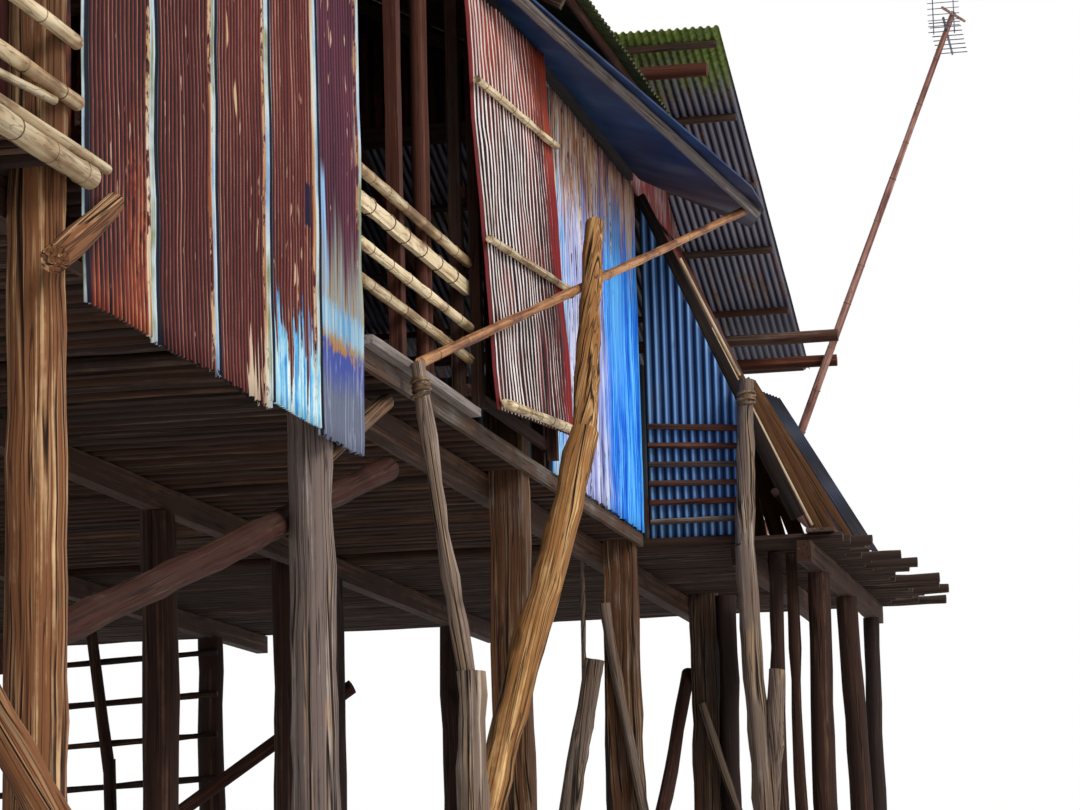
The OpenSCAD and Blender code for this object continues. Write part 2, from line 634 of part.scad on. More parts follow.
module floor_brace() {
    y = post_r_at(beam_bottom - 680) + brace_d / 2 + fit;
    thin_d = brace_d - 20;
    thin_x = even_xs[3] + post_r_at(beam_bottom - 900) + thin_d / 2 + fit;
    color(red_wood) {
        pole([front_xs[0] + 90, y, 1500], [front_xs[2] - 2300, y, beam_bottom - 120], brace_d, brace_d);
        pole([front_xs[4] - 1000, post_r + fit + thin_d / 2, 1700], [front_xs[4] + 60, post_r + fit + thin_d / 2, 2640], thin_d, thin_d);
        pole([thin_x, row_gap + 1450, 1300], [thin_x, row_gap - 120, 2330], thin_d, thin_d);
    }
}
// The forked pole leans along the front and rests against the prop of the awning
fork_d = 165;
fork_dir = [870, 60, 1490] / norm([870, 60, 1490]);
fork_tie = prop_foot + 0.4 * (prop_head - prop_foot);
fork_side = cross(fork_dir, prop_head - prop_foot);
fork_at = fork_tie - fork_side / norm(fork_side) * (prop_d / 2 + fork_d / 2 - 23.5 + fit);
// The forked post beside the deck, which the deck rails are tied to
post_pole_d = 150;
post_pole_x = deck_rail_x - deck_rail_d / 2 - fit - 71.5;
module leaning_poles() {
    sill_front = face_y - girt_t - 60;
    color(pale_wood) planted() {
        pole(fork_at - fork_dir * 1200, fork_at + fork_dir * 500, fork_d - 15, fork_d - 61);
        pole(fork_at - fork_dir * 1130 + [-1905, 510, -3330], fork_at - fork_dir * 1130, fork_d + 30, fork_d + 5);
        pole([4860, sill_front - 250, 1807], [4860, sill_front - 34.9, floor_z + 25], 84, 70);
        pole([4860, sill_front - 245, -30], [4860, sill_front - 275, 1800], 170, 150);
        pole([post_pole_x, -1005, -30], [post_pole_x, -863, floor_z - 120], post_pole_d + 15, post_pole_d);
        pole([post_pole_x, -863, floor_z - 120], [post_pole_x, -913, 4410], post_pole_d, post_pole_d - 45);
        pole([post_pole_x, -955, 850], [post_pole_x, -1079, 2334], post_pole_d - 20, post_pole_d - 35);
    }
}
// Stakes: two that lean on posts, a stick on the beam, one that stands free and a prop of the deck
module stakes() {
    on_fourth = corner_x - post_r - fit;
    on_fifth = end_wall_x - post_r - fit;
    thin = 34;
    color(old_wood) planted() {
        pole([on_fourth - 38, -340, -40], [on_fourth - 38, 100, 2820], 76, 76);
        pole([corner_x - 290, 690, -40], [corner_x - 290, 140, 2420], 158, 134);
        pole([corner_x - 290, front_beam_y + beam_w / 2 + thin / 2 + fit, 2240],
            [corner_x - 290, front_beam_y + beam_w / 2 + thin / 2 + fit, beam_top - fit], thin, thin);
        pole([on_fifth - 30, -740, -40], [on_fifth - 30, 20, 2370], 60, 60);
        pole([end_wall_x - 200, -1300, -40], [end_wall_x - 260, deck_beam_y + beam_w / 2 + fit + 45.2, 3150], 120, 90);
    }
}
module aerial_mast() {
    // the mast stands on one of the deck poles
    mast_x = return_x + deck_gap * round((end_wall_x + 300 - return_x) / deck_gap);
    mast_d = 80;
    mast_lean = 22.3;
    color(rust_brown) {
        pole([mast_x, -300, board_bottom + fit + mast_d / 2 * sin(mast_lean)], [mast_x, -2250, 8100], mast_d, 45);
        pole([mast_x - 300, -2180, 8060], [mast_x + 300, -2320, 8100], 22, 22);
    }
}

front_posts();
middle_posts();
rear_posts();
deck_posts();
under_posts();
front_beam();
middle_beams();
rear_beam();
deck_beams();
floor_joists();
floor_boards();
deck_poles();
deck_boards();
rim_boards();
left_front_sheets();
brown_front_sheets();
blue_front_sheets();
grey_return_wall();
rear_wall();
left_end_wall();
right_end_wall();
end_front_sheets();
wall_frame();
door_frame();
door_rails();
sheet_battens();
porch_rails();
porch_log();
rear_rails();
deck_rails();
main_roof_front();
main_roof_rear();
end_roof();
roof_frame();
roof_purlins();
end_roof_frame();
gable_walls();
awning();
awning_beam();
awning_prop();
slanted_screen();
screen_frame();
floor_brace();
leaning_poles();
stakes();
aerial_mast();
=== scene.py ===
# %% [markdown]
# A timber house on tall posts, with walls and roofs of corrugated iron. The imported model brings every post,
# pole and sheet at its real size and place. Here each of them gets the look of a house that was built by
# hand and has stood in the weather for years: crooked poles, dented sheets, worn paint, rust and moss.

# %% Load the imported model
import math
import bpy
import numpy as np
from mathutils import Matrix, Vector


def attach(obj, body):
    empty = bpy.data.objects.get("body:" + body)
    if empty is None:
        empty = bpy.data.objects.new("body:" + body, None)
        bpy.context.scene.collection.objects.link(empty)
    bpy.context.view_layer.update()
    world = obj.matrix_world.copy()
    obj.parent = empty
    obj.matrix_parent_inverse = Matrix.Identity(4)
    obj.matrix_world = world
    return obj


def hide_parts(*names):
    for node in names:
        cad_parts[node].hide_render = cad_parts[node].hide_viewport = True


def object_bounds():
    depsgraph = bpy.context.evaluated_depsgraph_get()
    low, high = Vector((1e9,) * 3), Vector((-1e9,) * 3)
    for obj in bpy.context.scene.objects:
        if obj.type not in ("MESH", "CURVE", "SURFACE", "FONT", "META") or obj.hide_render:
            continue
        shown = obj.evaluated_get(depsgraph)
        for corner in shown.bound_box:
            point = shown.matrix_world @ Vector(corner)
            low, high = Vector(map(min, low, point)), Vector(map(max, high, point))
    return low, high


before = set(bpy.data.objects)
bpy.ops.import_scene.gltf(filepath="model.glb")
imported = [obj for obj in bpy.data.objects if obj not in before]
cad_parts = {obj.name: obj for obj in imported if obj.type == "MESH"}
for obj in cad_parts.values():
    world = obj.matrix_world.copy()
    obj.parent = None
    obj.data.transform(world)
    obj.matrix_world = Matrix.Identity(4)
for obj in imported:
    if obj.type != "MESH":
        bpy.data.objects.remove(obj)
cad_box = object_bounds()
print("nodes:", len(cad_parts), "box:", cad_box)

# %% [markdown]
# The camera stands low and far off, near the long front, and looks up along it. A long lens keeps the posts
# nearly parallel, as a person on the bank would see the house. The place and the angles are set by numbers,
# so the picture has the same frame each time.

# %% Camera
EYE = Vector((-11.14, -4.15, 0.4))
YAW, PITCH, ROLL = (math.radians(a) for a in (11.618, 9.464, -1.554))
FILM = 36                          # width of the sensor, in millimetres
LENS_WIDTHS = 3294 / 1080          # focal length, in widths of the picture
ahead = Vector((math.cos(YAW) * math.cos(PITCH), math.sin(YAW) * math.cos(PITCH), math.sin(PITCH)))
level_right = ahead.cross(Vector((0, 0, 1))).normalized()
level_up = level_right.cross(ahead)
right = math.cos(ROLL) * level_right + math.sin(ROLL) * level_up
up = -math.sin(ROLL) * level_right + math.cos(ROLL) * level_up
lens = bpy.data.cameras.new("camera")
lens.sensor_width = FILM
lens.lens = LENS_WIDTHS * FILM
lens.clip_end = 200
camera = bpy.data.objects.new("camera", lens)
bpy.context.collection.objects.link(camera)
stand = Matrix((right, up, -ahead)).transposed().to_4x4()
stand.translation = EYE
camera.matrix_world = stand
bpy.context.scene.camera = camera
print("lens", round(lens.lens, 1), "mm")

# %% [markdown]
# A finish is a small graph of nodes. One class wraps the output of a node, so that a sum of two patterns
# can be written as a plain sum. A colour is given by the numbers that a screen shows.

# %% Values that add up, and colours
class Value:
    """An output of a node. A sum or a product of such values adds a Math node."""
    def __init__(self, finish, socket):
        self.finish, self.socket = finish, socket

    def _sum(self, operation, a, b):
        return self.finish.maths(operation, a, b)

    def __add__(self, other): return self._sum("ADD", self, other)
    def __sub__(self, other): return self._sum("SUBTRACT", self, other)
    def __rsub__(self, other): return self._sum("SUBTRACT", other, self)
    def __mul__(self, other): return self._sum("MULTIPLY", self, other)
    def __truediv__(self, other): return self._sum("DIVIDE", self, other)
    def __abs__(self): return self._sum("ABSOLUTE", self, 0)
    def __gt__(self, other): return self._sum("GREATER_THAN", self, other)


def tint(*screen):
    """A colour as it shows on a screen, turned into the light values that a shader takes."""
    return tuple(c / 255 / 12.92 if c < 11 else ((c / 255 + 0.055) / 1.055) ** 2.4 for c in screen)


def tints(*colours):
    return [tint(*colour) for colour in colours]


def stops(*rows):
    """The stops of a colour ramp, from rows of a place and a colour's three numbers."""
    return [(place, tint(*colour)) for place, *colour in rows]


print("a mid brown is", [round(c, 3) for c in tint(140, 92, 55)])

# %% [markdown]
# A second class makes the nodes of one material. Whatever changes over a surface goes to its colour, its
# roughness, its alpha or its bump only, and every pattern is read in the house's own coordinates or along a
# pole.

# %% Finishes as sums of patterns
class Finish:
    """One material, with its nodes made by node()."""
    def __init__(self, name, roughness=0.8, metallic=0.0, specular=0.3):
        self.material = bpy.data.materials.new(name)
        self.material.use_nodes = True
        self.tree = self.material.node_tree
        self.shader = self.tree.nodes["Principled BSDF"]
        self.shader.inputs["Roughness"].default_value = roughness
        self.shader.inputs["Metallic"].default_value = metallic
        self.shader.inputs["Specular IOR Level"].default_value = specular

    def node(self, kind, settings=None, sockets=None, out=0):
        made = self.tree.nodes.new("ShaderNode" + kind)
        for key, setting in (settings or {}).items():
            if key == "stops":
                ramp = made.color_ramp
                while len(ramp.elements) < len(setting):
                    ramp.elements.new(0.5)
                for element, (place, colour) in zip(ramp.elements, setting):
                    element.position = place
                    element.color = (*colour, 1)
            else:
                setattr(made, key, setting)
        for key, value in (sockets or {}).items():
            if isinstance(value, Value):
                self.tree.links.new(value.socket, made.inputs[key])
            else:
                made.inputs[key].default_value = value
        return Value(self, made.outputs[out])

    def place(self):
        return self.node("TexCoord", out="Object")

    def stored(self, name, out="Fac"):
        """A value that mark_grain leaves on the points of a mesh."""
        return self.node("Attribute", {"attribute_name": name}, out=out)

    def part(self, vector, axis):
        return self.node("SeparateXYZ", None, {0: vector}, out="XYZ".index(axis))

    def noise(self, vector, scale, detail, rough):
        sized = self.node("VectorMath", {"operation": "MULTIPLY"}, {0: vector, 1: scale})
        return self.node("TexNoise", {"noise_dimensions": "3D"},
                         {"Vector": sized, "Scale": 1.0, "Detail": detail, "Roughness": rough})

    def ramp(self, value, stops):
        return self.node("ValToRGB", {"stops": stops}, {"Fac": value})

    def window(self, value, low, high):
        """0 below low, 1 above high, smooth between; the other way round when low is above high."""
        ends = (0.0, 1.0) if low < high else (1.0, 0.0)
        return self.node("MapRange", {"interpolation_type": "SMOOTHSTEP", "clamp": True},
                         {"Value": value, "From Min": min(low, high), "From Max": max(low, high),
                          "To Min": ends[0], "To Max": ends[1]})

    def maths(self, operation, value, other=0.0):
        return self.node("Math", {"operation": operation}, {0: value, 1: other})

    def mix(self, share, a, b, how="MIX"):
        a, b = ((*c, 1) if isinstance(c, tuple) and len(c) == 3 else c for c in (a, b))
        return self.node("Mix", {"data_type": "RGBA", "blend_type": how}, {0: share, 6: a, 7: b}, out=2)

    def shaded(self, colour):
        """The colour times the shade that is stored for each solid."""
        shade = self.stored("shade")
        grey = self.node("CombineColor", None, {0: shade, 1: shade, 2: shade})
        return self.mix(1.0, colour, grey, "MULTIPLY")

    def feed(self, name, value):
        self.tree.links.new(value.socket, self.shader.inputs[name])

    def bump(self, height, depth):
        self.feed("Normal", self.node("Bump", None, {"Height": height, "Distance": depth, "Strength": 1.0}))


print("finish tools ready")

# %% [markdown]
# Old timber shows three scales at once: broad stains, long streaks of grain, and drying cracks that follow
# the grain. All three read the pole's own lengthwise coordinate, so a leaning pole keeps its grain
# straight. Each solid also has its own tone, from brown to silver grey, and its own shade, from dark to
# light. Six finishes, from dark to light in both tones, cover posts, inner timber, floor, frame, poles and
# planks. The inner and floor finishes are brown wood painted darker, as the shade under the house.

# %% Timber finish
def timber(name, brown, grey, crack=0.6, bump=0.006, gap=0.016):
    wood = Finish(name, roughness=0.85, specular=0.2)
    brown, grey = tints(*brown), tints(*grey)
    spot = wood.stored("grain", "Vector")
    grain = wood.noise(spot, (60, 60, 0.9), 3, 0.6)
    streak = wood.noise(spot, (20, 20, 0.35), 3, 0.55)
    stain = wood.noise(spot, (3.2, 3.2, 1.3), 4, 0.6)
    blotch = wood.noise(spot, (9, 9, 4.5), 4, 0.65)
    tone = grain * 0.30 + streak * 0.36 + stain * 0.18 + blotch * 0.16
    warm, cold = (wood.ramp(tone, list(zip((0.38, 0.46, 0.53, 0.62), (c[0], c[1], c[1], c[2]))))
                  for c in (brown, grey))
    greyness = wood.stored("tone") + (stain - 0.5) * 0.9 + (blotch - 0.5) * 0.5
    base = wood.mix(wood.window(greyness, 0.25, 0.8), warm, cold)
    ridge = abs(wood.noise(spot, (15, 15, 0.30), 1.5, 0.45) - 0.5)
    fine_ridge = abs(wood.noise(spot, (44, 44, 0.8), 1, 0.4) - 0.5)
    broken = wood.window(wood.noise(spot, (7, 7, 1.6), 2, 0.5), 0.42, 0.54)
    split = wood.window(ridge, gap, 0.001) * broken * crack
    check = wood.window(fine_ridge, 0.030, 0.002) * (crack * 0.65)
    lip = wood.window(abs(ridge - gap * 1.6), gap * 0.8, 0.0) * broken * (crack * 0.35)
    knot = wood.window(wood.noise(spot, (5.5, 5.5, 3.2), 1, 0.4), 0.74, 0.80) * 0.5
    # Painted shade: the cracks are real wear, and their near-black colour is the shade inside them.
    crack_shade = tuple(c * 0.16 for c in brown[0])
    shown = wood.mix(lip, base, brown[2])
    shown = wood.mix(check, shown, crack_shade)
    shown = wood.mix(split, shown, crack_shade)
    shown = wood.mix(knot, shown, tuple(c * 0.5 for c in brown[0]))
    wood.feed("Base Color", wood.shaded(shown))
    wood.bump(grain * 0.3 + streak * 0.35 + blotch * 0.2 - split * 1.0 - check * 0.4 + knot * 0.5, bump)
    return wood.material


post_wood = timber("post_wood", ((40, 22, 13), (122, 78, 48), (214, 174, 128)),
                   ((52, 42, 38), (118, 101, 94), (188, 176, 168)), crack=0.95, bump=0.02, gap=0.026)
# Painted shade: brown wood made darker for timber in the shade under the house and the roofs.
inner_wood_painted_shade = timber("inner_wood_painted_shade", ((20, 11, 8), (56, 34, 25), (106, 76, 58)),
                    ((16, 10, 9), (42, 30, 26), (76, 60, 52)), bump=0.008)
floor_wood_painted_shade = timber("floor_wood_painted_shade", ((24, 12, 8), (66, 42, 29), (112, 78, 56)),
                    ((18, 12, 10), (52, 38, 31), (96, 76, 62)))
frame_wood = timber("frame_wood", ((36, 16, 11), (84, 45, 32), (132, 84, 62)),
                    ((38, 28, 24), (82, 64, 54), (134, 116, 100)))
pole_wood = timber("pole_wood", ((58, 34, 15), (146, 100, 56), (216, 176, 120)),
                   ((66, 53, 44), (124, 104, 90), (184, 166, 148)), crack=0.95, bump=0.02, gap=0.03)
plank_wood = timber("plank_wood", ((70, 40, 22), (140, 92, 56), (204, 162, 114)),
                    ((84, 72, 66), (150, 136, 128), (206, 196, 188)))
print("timber finishes ready")

# %% [markdown]
# Bamboo is smoother than timber: a straw-coloured skin with faint lengthwise streaks, grey where the skin
# has weathered, and thin dark scratches. Its joint rings are built as pieces of their own further down.

# %% Bamboo finish
def cane(name, dark, middle, light):
    skin = Finish(name, roughness=0.5, specular=0.35)
    dark, middle, light = tints(dark, middle, light)
    spot = skin.stored("grain", "Vector")
    streak = skin.noise(spot, (48, 48, 1.1), 3, 0.5)
    stain = skin.noise(spot, (5, 5, 2.2), 4, 0.6)
    tone = streak * 0.5 + stain * 0.5 + (skin.stored("tone") - 0.5) * 0.12
    base = skin.ramp(tone, [(0.28, dark), (0.42, middle), (0.56, light), (0.72, light)])
    scratch = skin.window(abs(skin.noise(spot, (30, 30, 2.0), 2, 0.5) - 0.5), 0.014, 0.0) * 0.55
    grime = skin.window(stain, 0.50, 0.34) * 0.5
    shown = skin.mix(scratch, skin.mix(grime, base, dark), tuple(c * 0.3 for c in dark))
    skin.feed("Base Color", skin.shaded(shown))
    skin.bump(streak * 0.4 - scratch, 0.003)
    return skin.material


bamboo = cane("bamboo", (92, 58, 30), (172, 136, 92), (222, 200, 160))
red_cane = cane("red_cane", (58, 28, 15), (140, 84, 46), (190, 136, 86))
mast_cane = cane("mast_cane", (78, 38, 32), (148, 96, 82), (196, 150, 134))
ring_cane = cane("ring_cane", (44, 28, 16), (92, 64, 38), (150, 120, 84))
print("bamboo finishes ready")

# %% [markdown]
# Corrugated iron gets most of its look from its waves. Crests catch the light and lose their paint first,
# and the colour is painted lighter on crests and darker in troughs, a painted highlight and painted shade.
# The finish finds crests from the wave's own pitch, then adds streaks that run down the sheet, as rain does.
# Each wall lays its paint, wear and rust over one another, and uneven() keeps every edge between them ragged.

# %% Corrugated iron
SHEET = 0.798                                       # from lap to lap, in metres
DOWN_X, DOWN_Y = (24, 2, 0.45), (2, 24, 0.45)       # streaks run down, on walls along X or Y
SMOOTHEST, ROUGHEST = 0.45, 0.8


class Iron(Finish):
    """A corrugated sheet's finish, which knows where its crests, streaks and patches are."""
    def __init__(self, name, across, start, pitch, run, roughness=0.55):
        super().__init__(name, roughness, specular=0.18)
        self.spot = self.place()
        self.side = self.part(self.spot, across)
        self.height = self.part(self.spot, "Z")
        self.crest = self.wave(self.side - start, pitch)
        self.streak = self.noise(self.spot, run, 4, 0.6)
        self.hair = self.noise(self.spot, tuple(r * 2.7 for r in run), 2, 0.5)
        self.patch = self.noise(self.spot, (1.9, 1.9, 1.6), 4, 0.6)
        self.fleck = self.noise(self.spot, (26, 26, 9), 3, 0.65)

    def wave(self, place, pitch):
        """1 on crests, 0 in troughs."""
        return self.maths("COSINE", place * (2 * math.pi / pitch)) * -0.5 + 0.5

    def zone(self, value, low, high, soft):
        return self.window(value, low - soft, low + soft) * self.window(value, high + soft, high - soft)

    def uneven(self, value, **shares):
        """Moves a value to and fro by some of the sheet's own patterns."""
        for pattern, share in shares.items():
            value = value + (getattr(self, pattern) - 0.5) * share
        return value

    def paint(self, share, colour):
        """Lays a colour over what shows, as far as share says."""
        self.shown = self.mix(share, self.shown, colour)

    def finished(self):
        self.feed("Base Color", self.shown)
        self.feed("Roughness", self.patch * (ROUGHEST - SMOOTHEST) * 1.2 + (SMOOTHEST - 0.1))
        self.bump(self.fleck * 0.5 + self.streak * 0.5, 0.0025)
        return self.material


print("sheet tools ready")

# %% [markdown]
# The near wall is five sheets of oxide red, painted nearly black in the troughs as shade and lighter on the
# crests as a highlight, and plum from the last lap on. The first sheet rusts orange towards its lap, and
# worn paint leaves pale specks and long pale runs.

# %% Red paint and rust
RED_START = 0.110    # where the first sheet begins
LAST_LAP = 3.30      # where the fifth one begins
red = Iron("red_sheets", "X", RED_START, SHEET / 17, DOWN_X)
# Painted highlight and shade: lighter crests, nearly black troughs; the plum and rust ramps below do the
# same.
red.shown = red.ramp(red.crest * 0.60 + red.streak * 0.22 + red.hair * 0.10 + red.fleck * 0.08, stops(
    (0.34, 6, 2, 5), (0.52, 22, 6, 9), (0.66, 72, 24, 23), (0.77, 112, 46, 38), (0.86, 190, 138, 116)))
plum = red.ramp(red.crest * 0.45 + red.streak * 0.35 + red.patch * 0.20, stops(
    (0.34, 12, 3, 11), (0.54, 44, 13, 25), (0.74, 102, 50, 66)))
red.paint(red.window(red.side, LAST_LAP, 3.34), plum)
rust = red.ramp(red.crest * 0.45 + red.streak * 0.35 + red.fleck * 0.20, stops(
    (0.25, 36, 10, 9), (0.46, 98, 32, 21), (0.62, 146, 62, 36), (0.76, 200, 142, 100)))
drip = red.uneven(red.height, streak=1.3, hair=0.6)
rusty = red.zone(red.side, 0.56, 0.86, 0.14) * red.window(drip, 3.75, 3.1)
rusty = rusty * red.window(red.hair + red.fleck, 0.86, 1.06)
rusty_foot = red.zone(red.side, 0.10, 0.86, 0.03) * red.window(drip, 3.05, 2.80)
red.paint(red.maths("MAXIMUM", rusty, rusty_foot) * 0.9, rust)
speck = red.noise(red.spot, (90, 8, 6), 2, 0.5)
red.paint(red.window(red.uneven(speck, patch=0.35), 0.69, 0.75) * 0.75,
          red.ramp(red.hair, stops((0.4, 150, 96, 74), (0.6, 216, 190, 160))))
long_run = red.window(red.noise(red.spot, (34, 2, 1.5), 2, 0.6), 0.70, 0.73)
red.paint(long_run * red.zone(red.side, 1.72, 3.0, 0.1) * 0.85, tint(206, 172, 128))
print("red paint laid on")

# %% [markdown]
# Beside each lap the paint has flaked, along it runs a strip of bare pale zinc, and a narrower strip lies
# on the sheet's other side. The place across one sheet, from half a sheet before the lap to half a sheet
# after it, repeats for every sheet.

# %% Laps of the red sheets
near_lap = red.maths("FRACT", (red.side - RED_START) / SHEET + 0.5) * SHEET - 0.5 * SHEET
wander = (red.patch - 0.5) * 0.05 + (red.fleck - 0.5) * 0.03
flaked = red.zone(near_lap + wander, -0.105, -0.035, 0.02)
red.paint(flaked * red.window(red.uneven(red.fleck, streak=0.8), 0.46, 0.56) * 0.85,
          red.ramp(red.hair, stops((0.36, 150, 84, 48), (0.5, 196, 160, 112), (0.64, 214, 208, 186))))
broad = red.noise(red.spot, (0.9, 0.9, 0.9), 2, 0.5)
strip_zinc = red.ramp(red.patch * 0.45 + red.hair * 0.30 + broad * 0.25, stops(
    (0.34, 70, 92, 128), (0.44, 132, 162, 192), (0.50, 192, 206, 208), (0.57, 116, 128, 96),
    (0.66, 168, 180, 184)))
red.paint(red.zone(near_lap + wander * 0.6, -0.050, 0.008, 0.010) * 0.95, strip_zinc)
red.paint(red.zone(near_lap + wander * 0.2, 0.022, 0.040, 0.006) * 0.9,
          red.ramp(red.hair, stops((0.38, 110, 146, 190), (0.6, 206, 222, 226))))
print("a sheet shows", SHEET, "m between laps")

# %% [markdown]
# The foot of the fourth sheet is a mottle of strong and pale blue, white and ochre, and the third one has
# pale scuffs there. The fifth fades from its middle down, then ends in a light band, an ochre line and a
# slate foot.

# %% Feet of the last red sheets
foot = red.ramp(red.hair * 0.45 + red.streak * 0.35 + red.fleck * 0.2, stops(
    (0.34, 24, 70, 170), (0.43, 60, 148, 206), (0.50, 150, 204, 220), (0.56, 222, 230, 224),
    (0.62, 120, 160, 170), (0.70, 168, 116, 54)))
fourth = red.window(red.uneven(red.height, streak=1.7, hair=0.9, fleck=0.3), 3.16, 3.08)
red.paint(red.zone(red.side, 2.54, 3.29, 0.02) * fourth * 0.95, foot)
third = red.zone(red.side, 2.10, 2.46, 0.05) * red.window(red.uneven(red.height, streak=1.5), 2.94, 2.90)
red.paint(third * red.window(red.hair, 0.53, 0.60) * 0.85, tint(206, 184, 156))
left_band = red.zone(red.side + (red.height - 4.05) * 0.10, LAST_LAP, 3.42, 0.015)
red.paint(left_band * red.window(red.height, 4.12, 3.98) * 0.85,
          red.ramp(red.hair, stops((0.4, 80, 120, 184), (0.6, 150, 186, 216))))
fading = red.window(red.uneven(red.height, streak=1.8, hair=0.8), 3.86, 3.46)
red.paint(red.zone(red.side, 3.33, 4.14, 0.03) * fading * 0.9,
          red.ramp(red.streak * 0.4 + red.hair * 0.35 + red.crest * 0.25, stops(
              (0.30, 60, 24, 34), (0.42, 94, 74, 84), (0.52, 134, 150, 160), (0.62, 160, 140, 96),
              (0.74, 176, 190, 190))))
fifth = red.zone(red.side, 3.33, 4.14, 0.02)
slope_line = red.uneven(red.height + (red.side - LAST_LAP) * 0.02, fleck=0.16, hair=0.10)
red.paint(fifth * red.zone(slope_line, 3.30, 3.44, 0.04) * 0.7,
          red.ramp(red.hair, stops((0.38, 70, 146, 196), (0.6, 166, 200, 210))))
slate = red.mix(red.window(red.uneven(red.height, patch=0.3), 3.20, 2.98), tint(48, 66, 146),
                tint(92, 98, 118))
# Painted shade: the slate foot goes dark navy in its troughs.
slate = red.mix(red.window(red.crest, 0.6, 0.1) * 0.7, slate, tint(20, 24, 44))
slate = red.mix(red.window(red.uneven(red.hair, fleck=0.3), 0.52, 0.62) * 0.6, slate, tint(146, 152, 172))
red.paint(red.zone(red.side, LAST_LAP, 4.14, 0.01) * red.window(slope_line, 3.29, 3.22) * 0.92, slate)
red.paint(fifth * red.zone(slope_line, 3.23, 3.30, 0.02) * red.window(red.fleck, 0.44, 0.52) * 0.9,
          tint(168, 116, 34))
print("feet painted")

# %% [markdown]
# Every lap shows a dark slit where the upper sheet ends, a painted shadow, and one small hole near the last
# lap is painted as a dark patch, the shade of the room behind it. The lower edge is rusted away unevenly, so
# alpha cuts it along a ragged line.

# %% Slits and the lower edge of the red sheets
RED_FOOT = 2.775
# Painted shadow: a dark slit beside each lap, cast by the upper sheet.
red.paint(red.window(abs(red.uneven(near_lap - 0.015, patch=0.006)), 0.010, 0.006), tint(8, 10, 28))
# Painted shade: a dark patch for the small hole, the room's shade seen through it.
red.paint(red.zone(red.side, 3.06, 3.14, 0.008) * red.zone(red.height, 3.72, 3.92, 0.01), tint(20, 14, 44))
red.feed("Alpha", red.uneven(red.height, streak=0.06, fleck=0.03, patch=0.12) > RED_FOOT)
red_iron = red.finished()
print("red sheets ready")

# %% [markdown]
# The leaning sheets beside the doorway: white paint is left on every crest, dark red in the troughs, painted
# nearly black there as shade, and crimson where the sheet turns to the blue wall. Their waves stand askew,
# so the pattern is turned with them, and all places are measured from the foot of their first edge.

# %% White and red sheets
LEAN_TURN = math.radians(4.5)
pale = Iron("white_red_sheets", "X", 0.0, SHEET / 9, (30, 2, 0.5))
askew = (pale.side - 6.44) * math.cos(LEAN_TURN) + (pale.height - 3.38) * math.sin(LEAN_TURN)
pale.crest = pale.wave(askew, SHEET / 9)
pale.worn = pale.noise(pale.spot, (3.4, 2, 0.6), 4, 0.6)
redder = pale.window(pale.uneven(askew, worn=1.6), 0.9, 2.3) * 0.22
white = pale.window(pale.uneven(pale.crest * 0.92, worn=0.55, fleck=0.14) - redder, 0.73, 0.80)
# Painted shade: the darkest, nearly black stops fall in the troughs.
pale.shown = pale.ramp(pale.streak * 0.4 + pale.patch * 0.3 + pale.crest * 0.3, stops(
    (0.24, 4, 2, 6), (0.40, 12, 5, 9), (0.54, 50, 15, 18), (0.70, 112, 46, 38)))
pale.paint(white * 0.95, pale.ramp(pale.hair * 0.4 + pale.patch * 0.3 + pale.fleck * 0.3, stops(
    (0.36, 168, 142, 134), (0.48, 222, 210, 202), (0.60, 246, 242, 238))))
crimson = pale.window(pale.uneven(askew, patch=0.5, streak=0.5), 1.80, 2.15) * 0.85
pale.paint(crimson * (1 - white * 0.4), tint(128, 20, 24))
seam_place = pale.uneven(askew - (pale.height - 3.4) * 0.10, fleck=0.02)
blood = pale.zone(seam_place, 1.16, 1.46, 0.05) * pale.window(pale.uneven(pale.height, streak=0.9), 4.2, 3.9)
pale.paint(blood * 0.65, tint(112, 24, 26))
pale.paint(pale.zone(seam_place, 1.29, 1.35, 0.015) * pale.zone(pale.height, 3.42, 4.15, 0.2), tint(22, 5, 9))
orange = pale.window(pale.uneven(pale.height, streak=1.6), 5.0, 5.7) * 0.75
pale.paint(orange * (1 - white * 0.65), tint(150, 60, 34))
bruise = pale.window(pale.noise(pale.spot, (3.4, 2, 1.7), 3, 0.6), 0.56, 0.66)
pale.paint(bruise * (1 - white * 0.5) * 0.7 * 0.8, tint(112, 44, 34))
# Painted shadow: a dark line along each lap of the leaning sheets.
lap_edge_shadow = pale.window(abs(askew - 0.80), 0.014, 0.005) + pale.window(abs(askew - 1.60), 0.014, 0.005)
pale.paint(pale.maths("MINIMUM", lap_edge_shadow, 1.0) * 0.85, tint(30, 10, 12))
pale.paint(pale.window(askew, 0.035, 0.012), tint(104, 26, 26))
white_red_iron = pale.finished()
print("white and red sheets ready")

# %% [markdown]
# The blue wall is painted, but the paint has chalked. Its left third is sky blue with white runs, the
# middle is lilac with dark scratches, and the right end is still a strong blue. Rust runs down from the
# eave.

# %% Blue sheets
BLUE_START, BLUE_FOOT = 8.690, 3.345
blue = Iron("blue_sheets", "X", BLUE_START, SHEET / 12, (20, 2, 0.4), roughness=0.5)
blue.grained = blue.noise(blue.spot, (60, 2, 1.6), 3, 0.6)
blue.mottle = blue.noise(blue.spot, (7, 2, 2.6), 4, 0.65)
tone = blue.streak * 0.34 + blue.hair * 0.22 + blue.grained * 0.16 + blue.mottle * 0.16 + blue.crest * 0.12
blue.shown = blue.ramp(tone, stops(
    (0.36, 40, 62, 132), (0.44, 72, 138, 206), (0.51, 128, 184, 226), (0.60, 214, 226, 234)))
lilac = blue.ramp(tone, stops(
    (0.35, 38, 30, 74), (0.42, 86, 88, 158), (0.50, 138, 144, 200), (0.60, 212, 212, 228)))
strong = blue.ramp(tone, stops(
    (0.38, 4, 22, 92), (0.45, 8, 66, 182), (0.52, 20, 116, 226), (0.60, 104, 194, 246)))
along = blue.uneven(blue.side, patch=0.9, mottle=0.5)
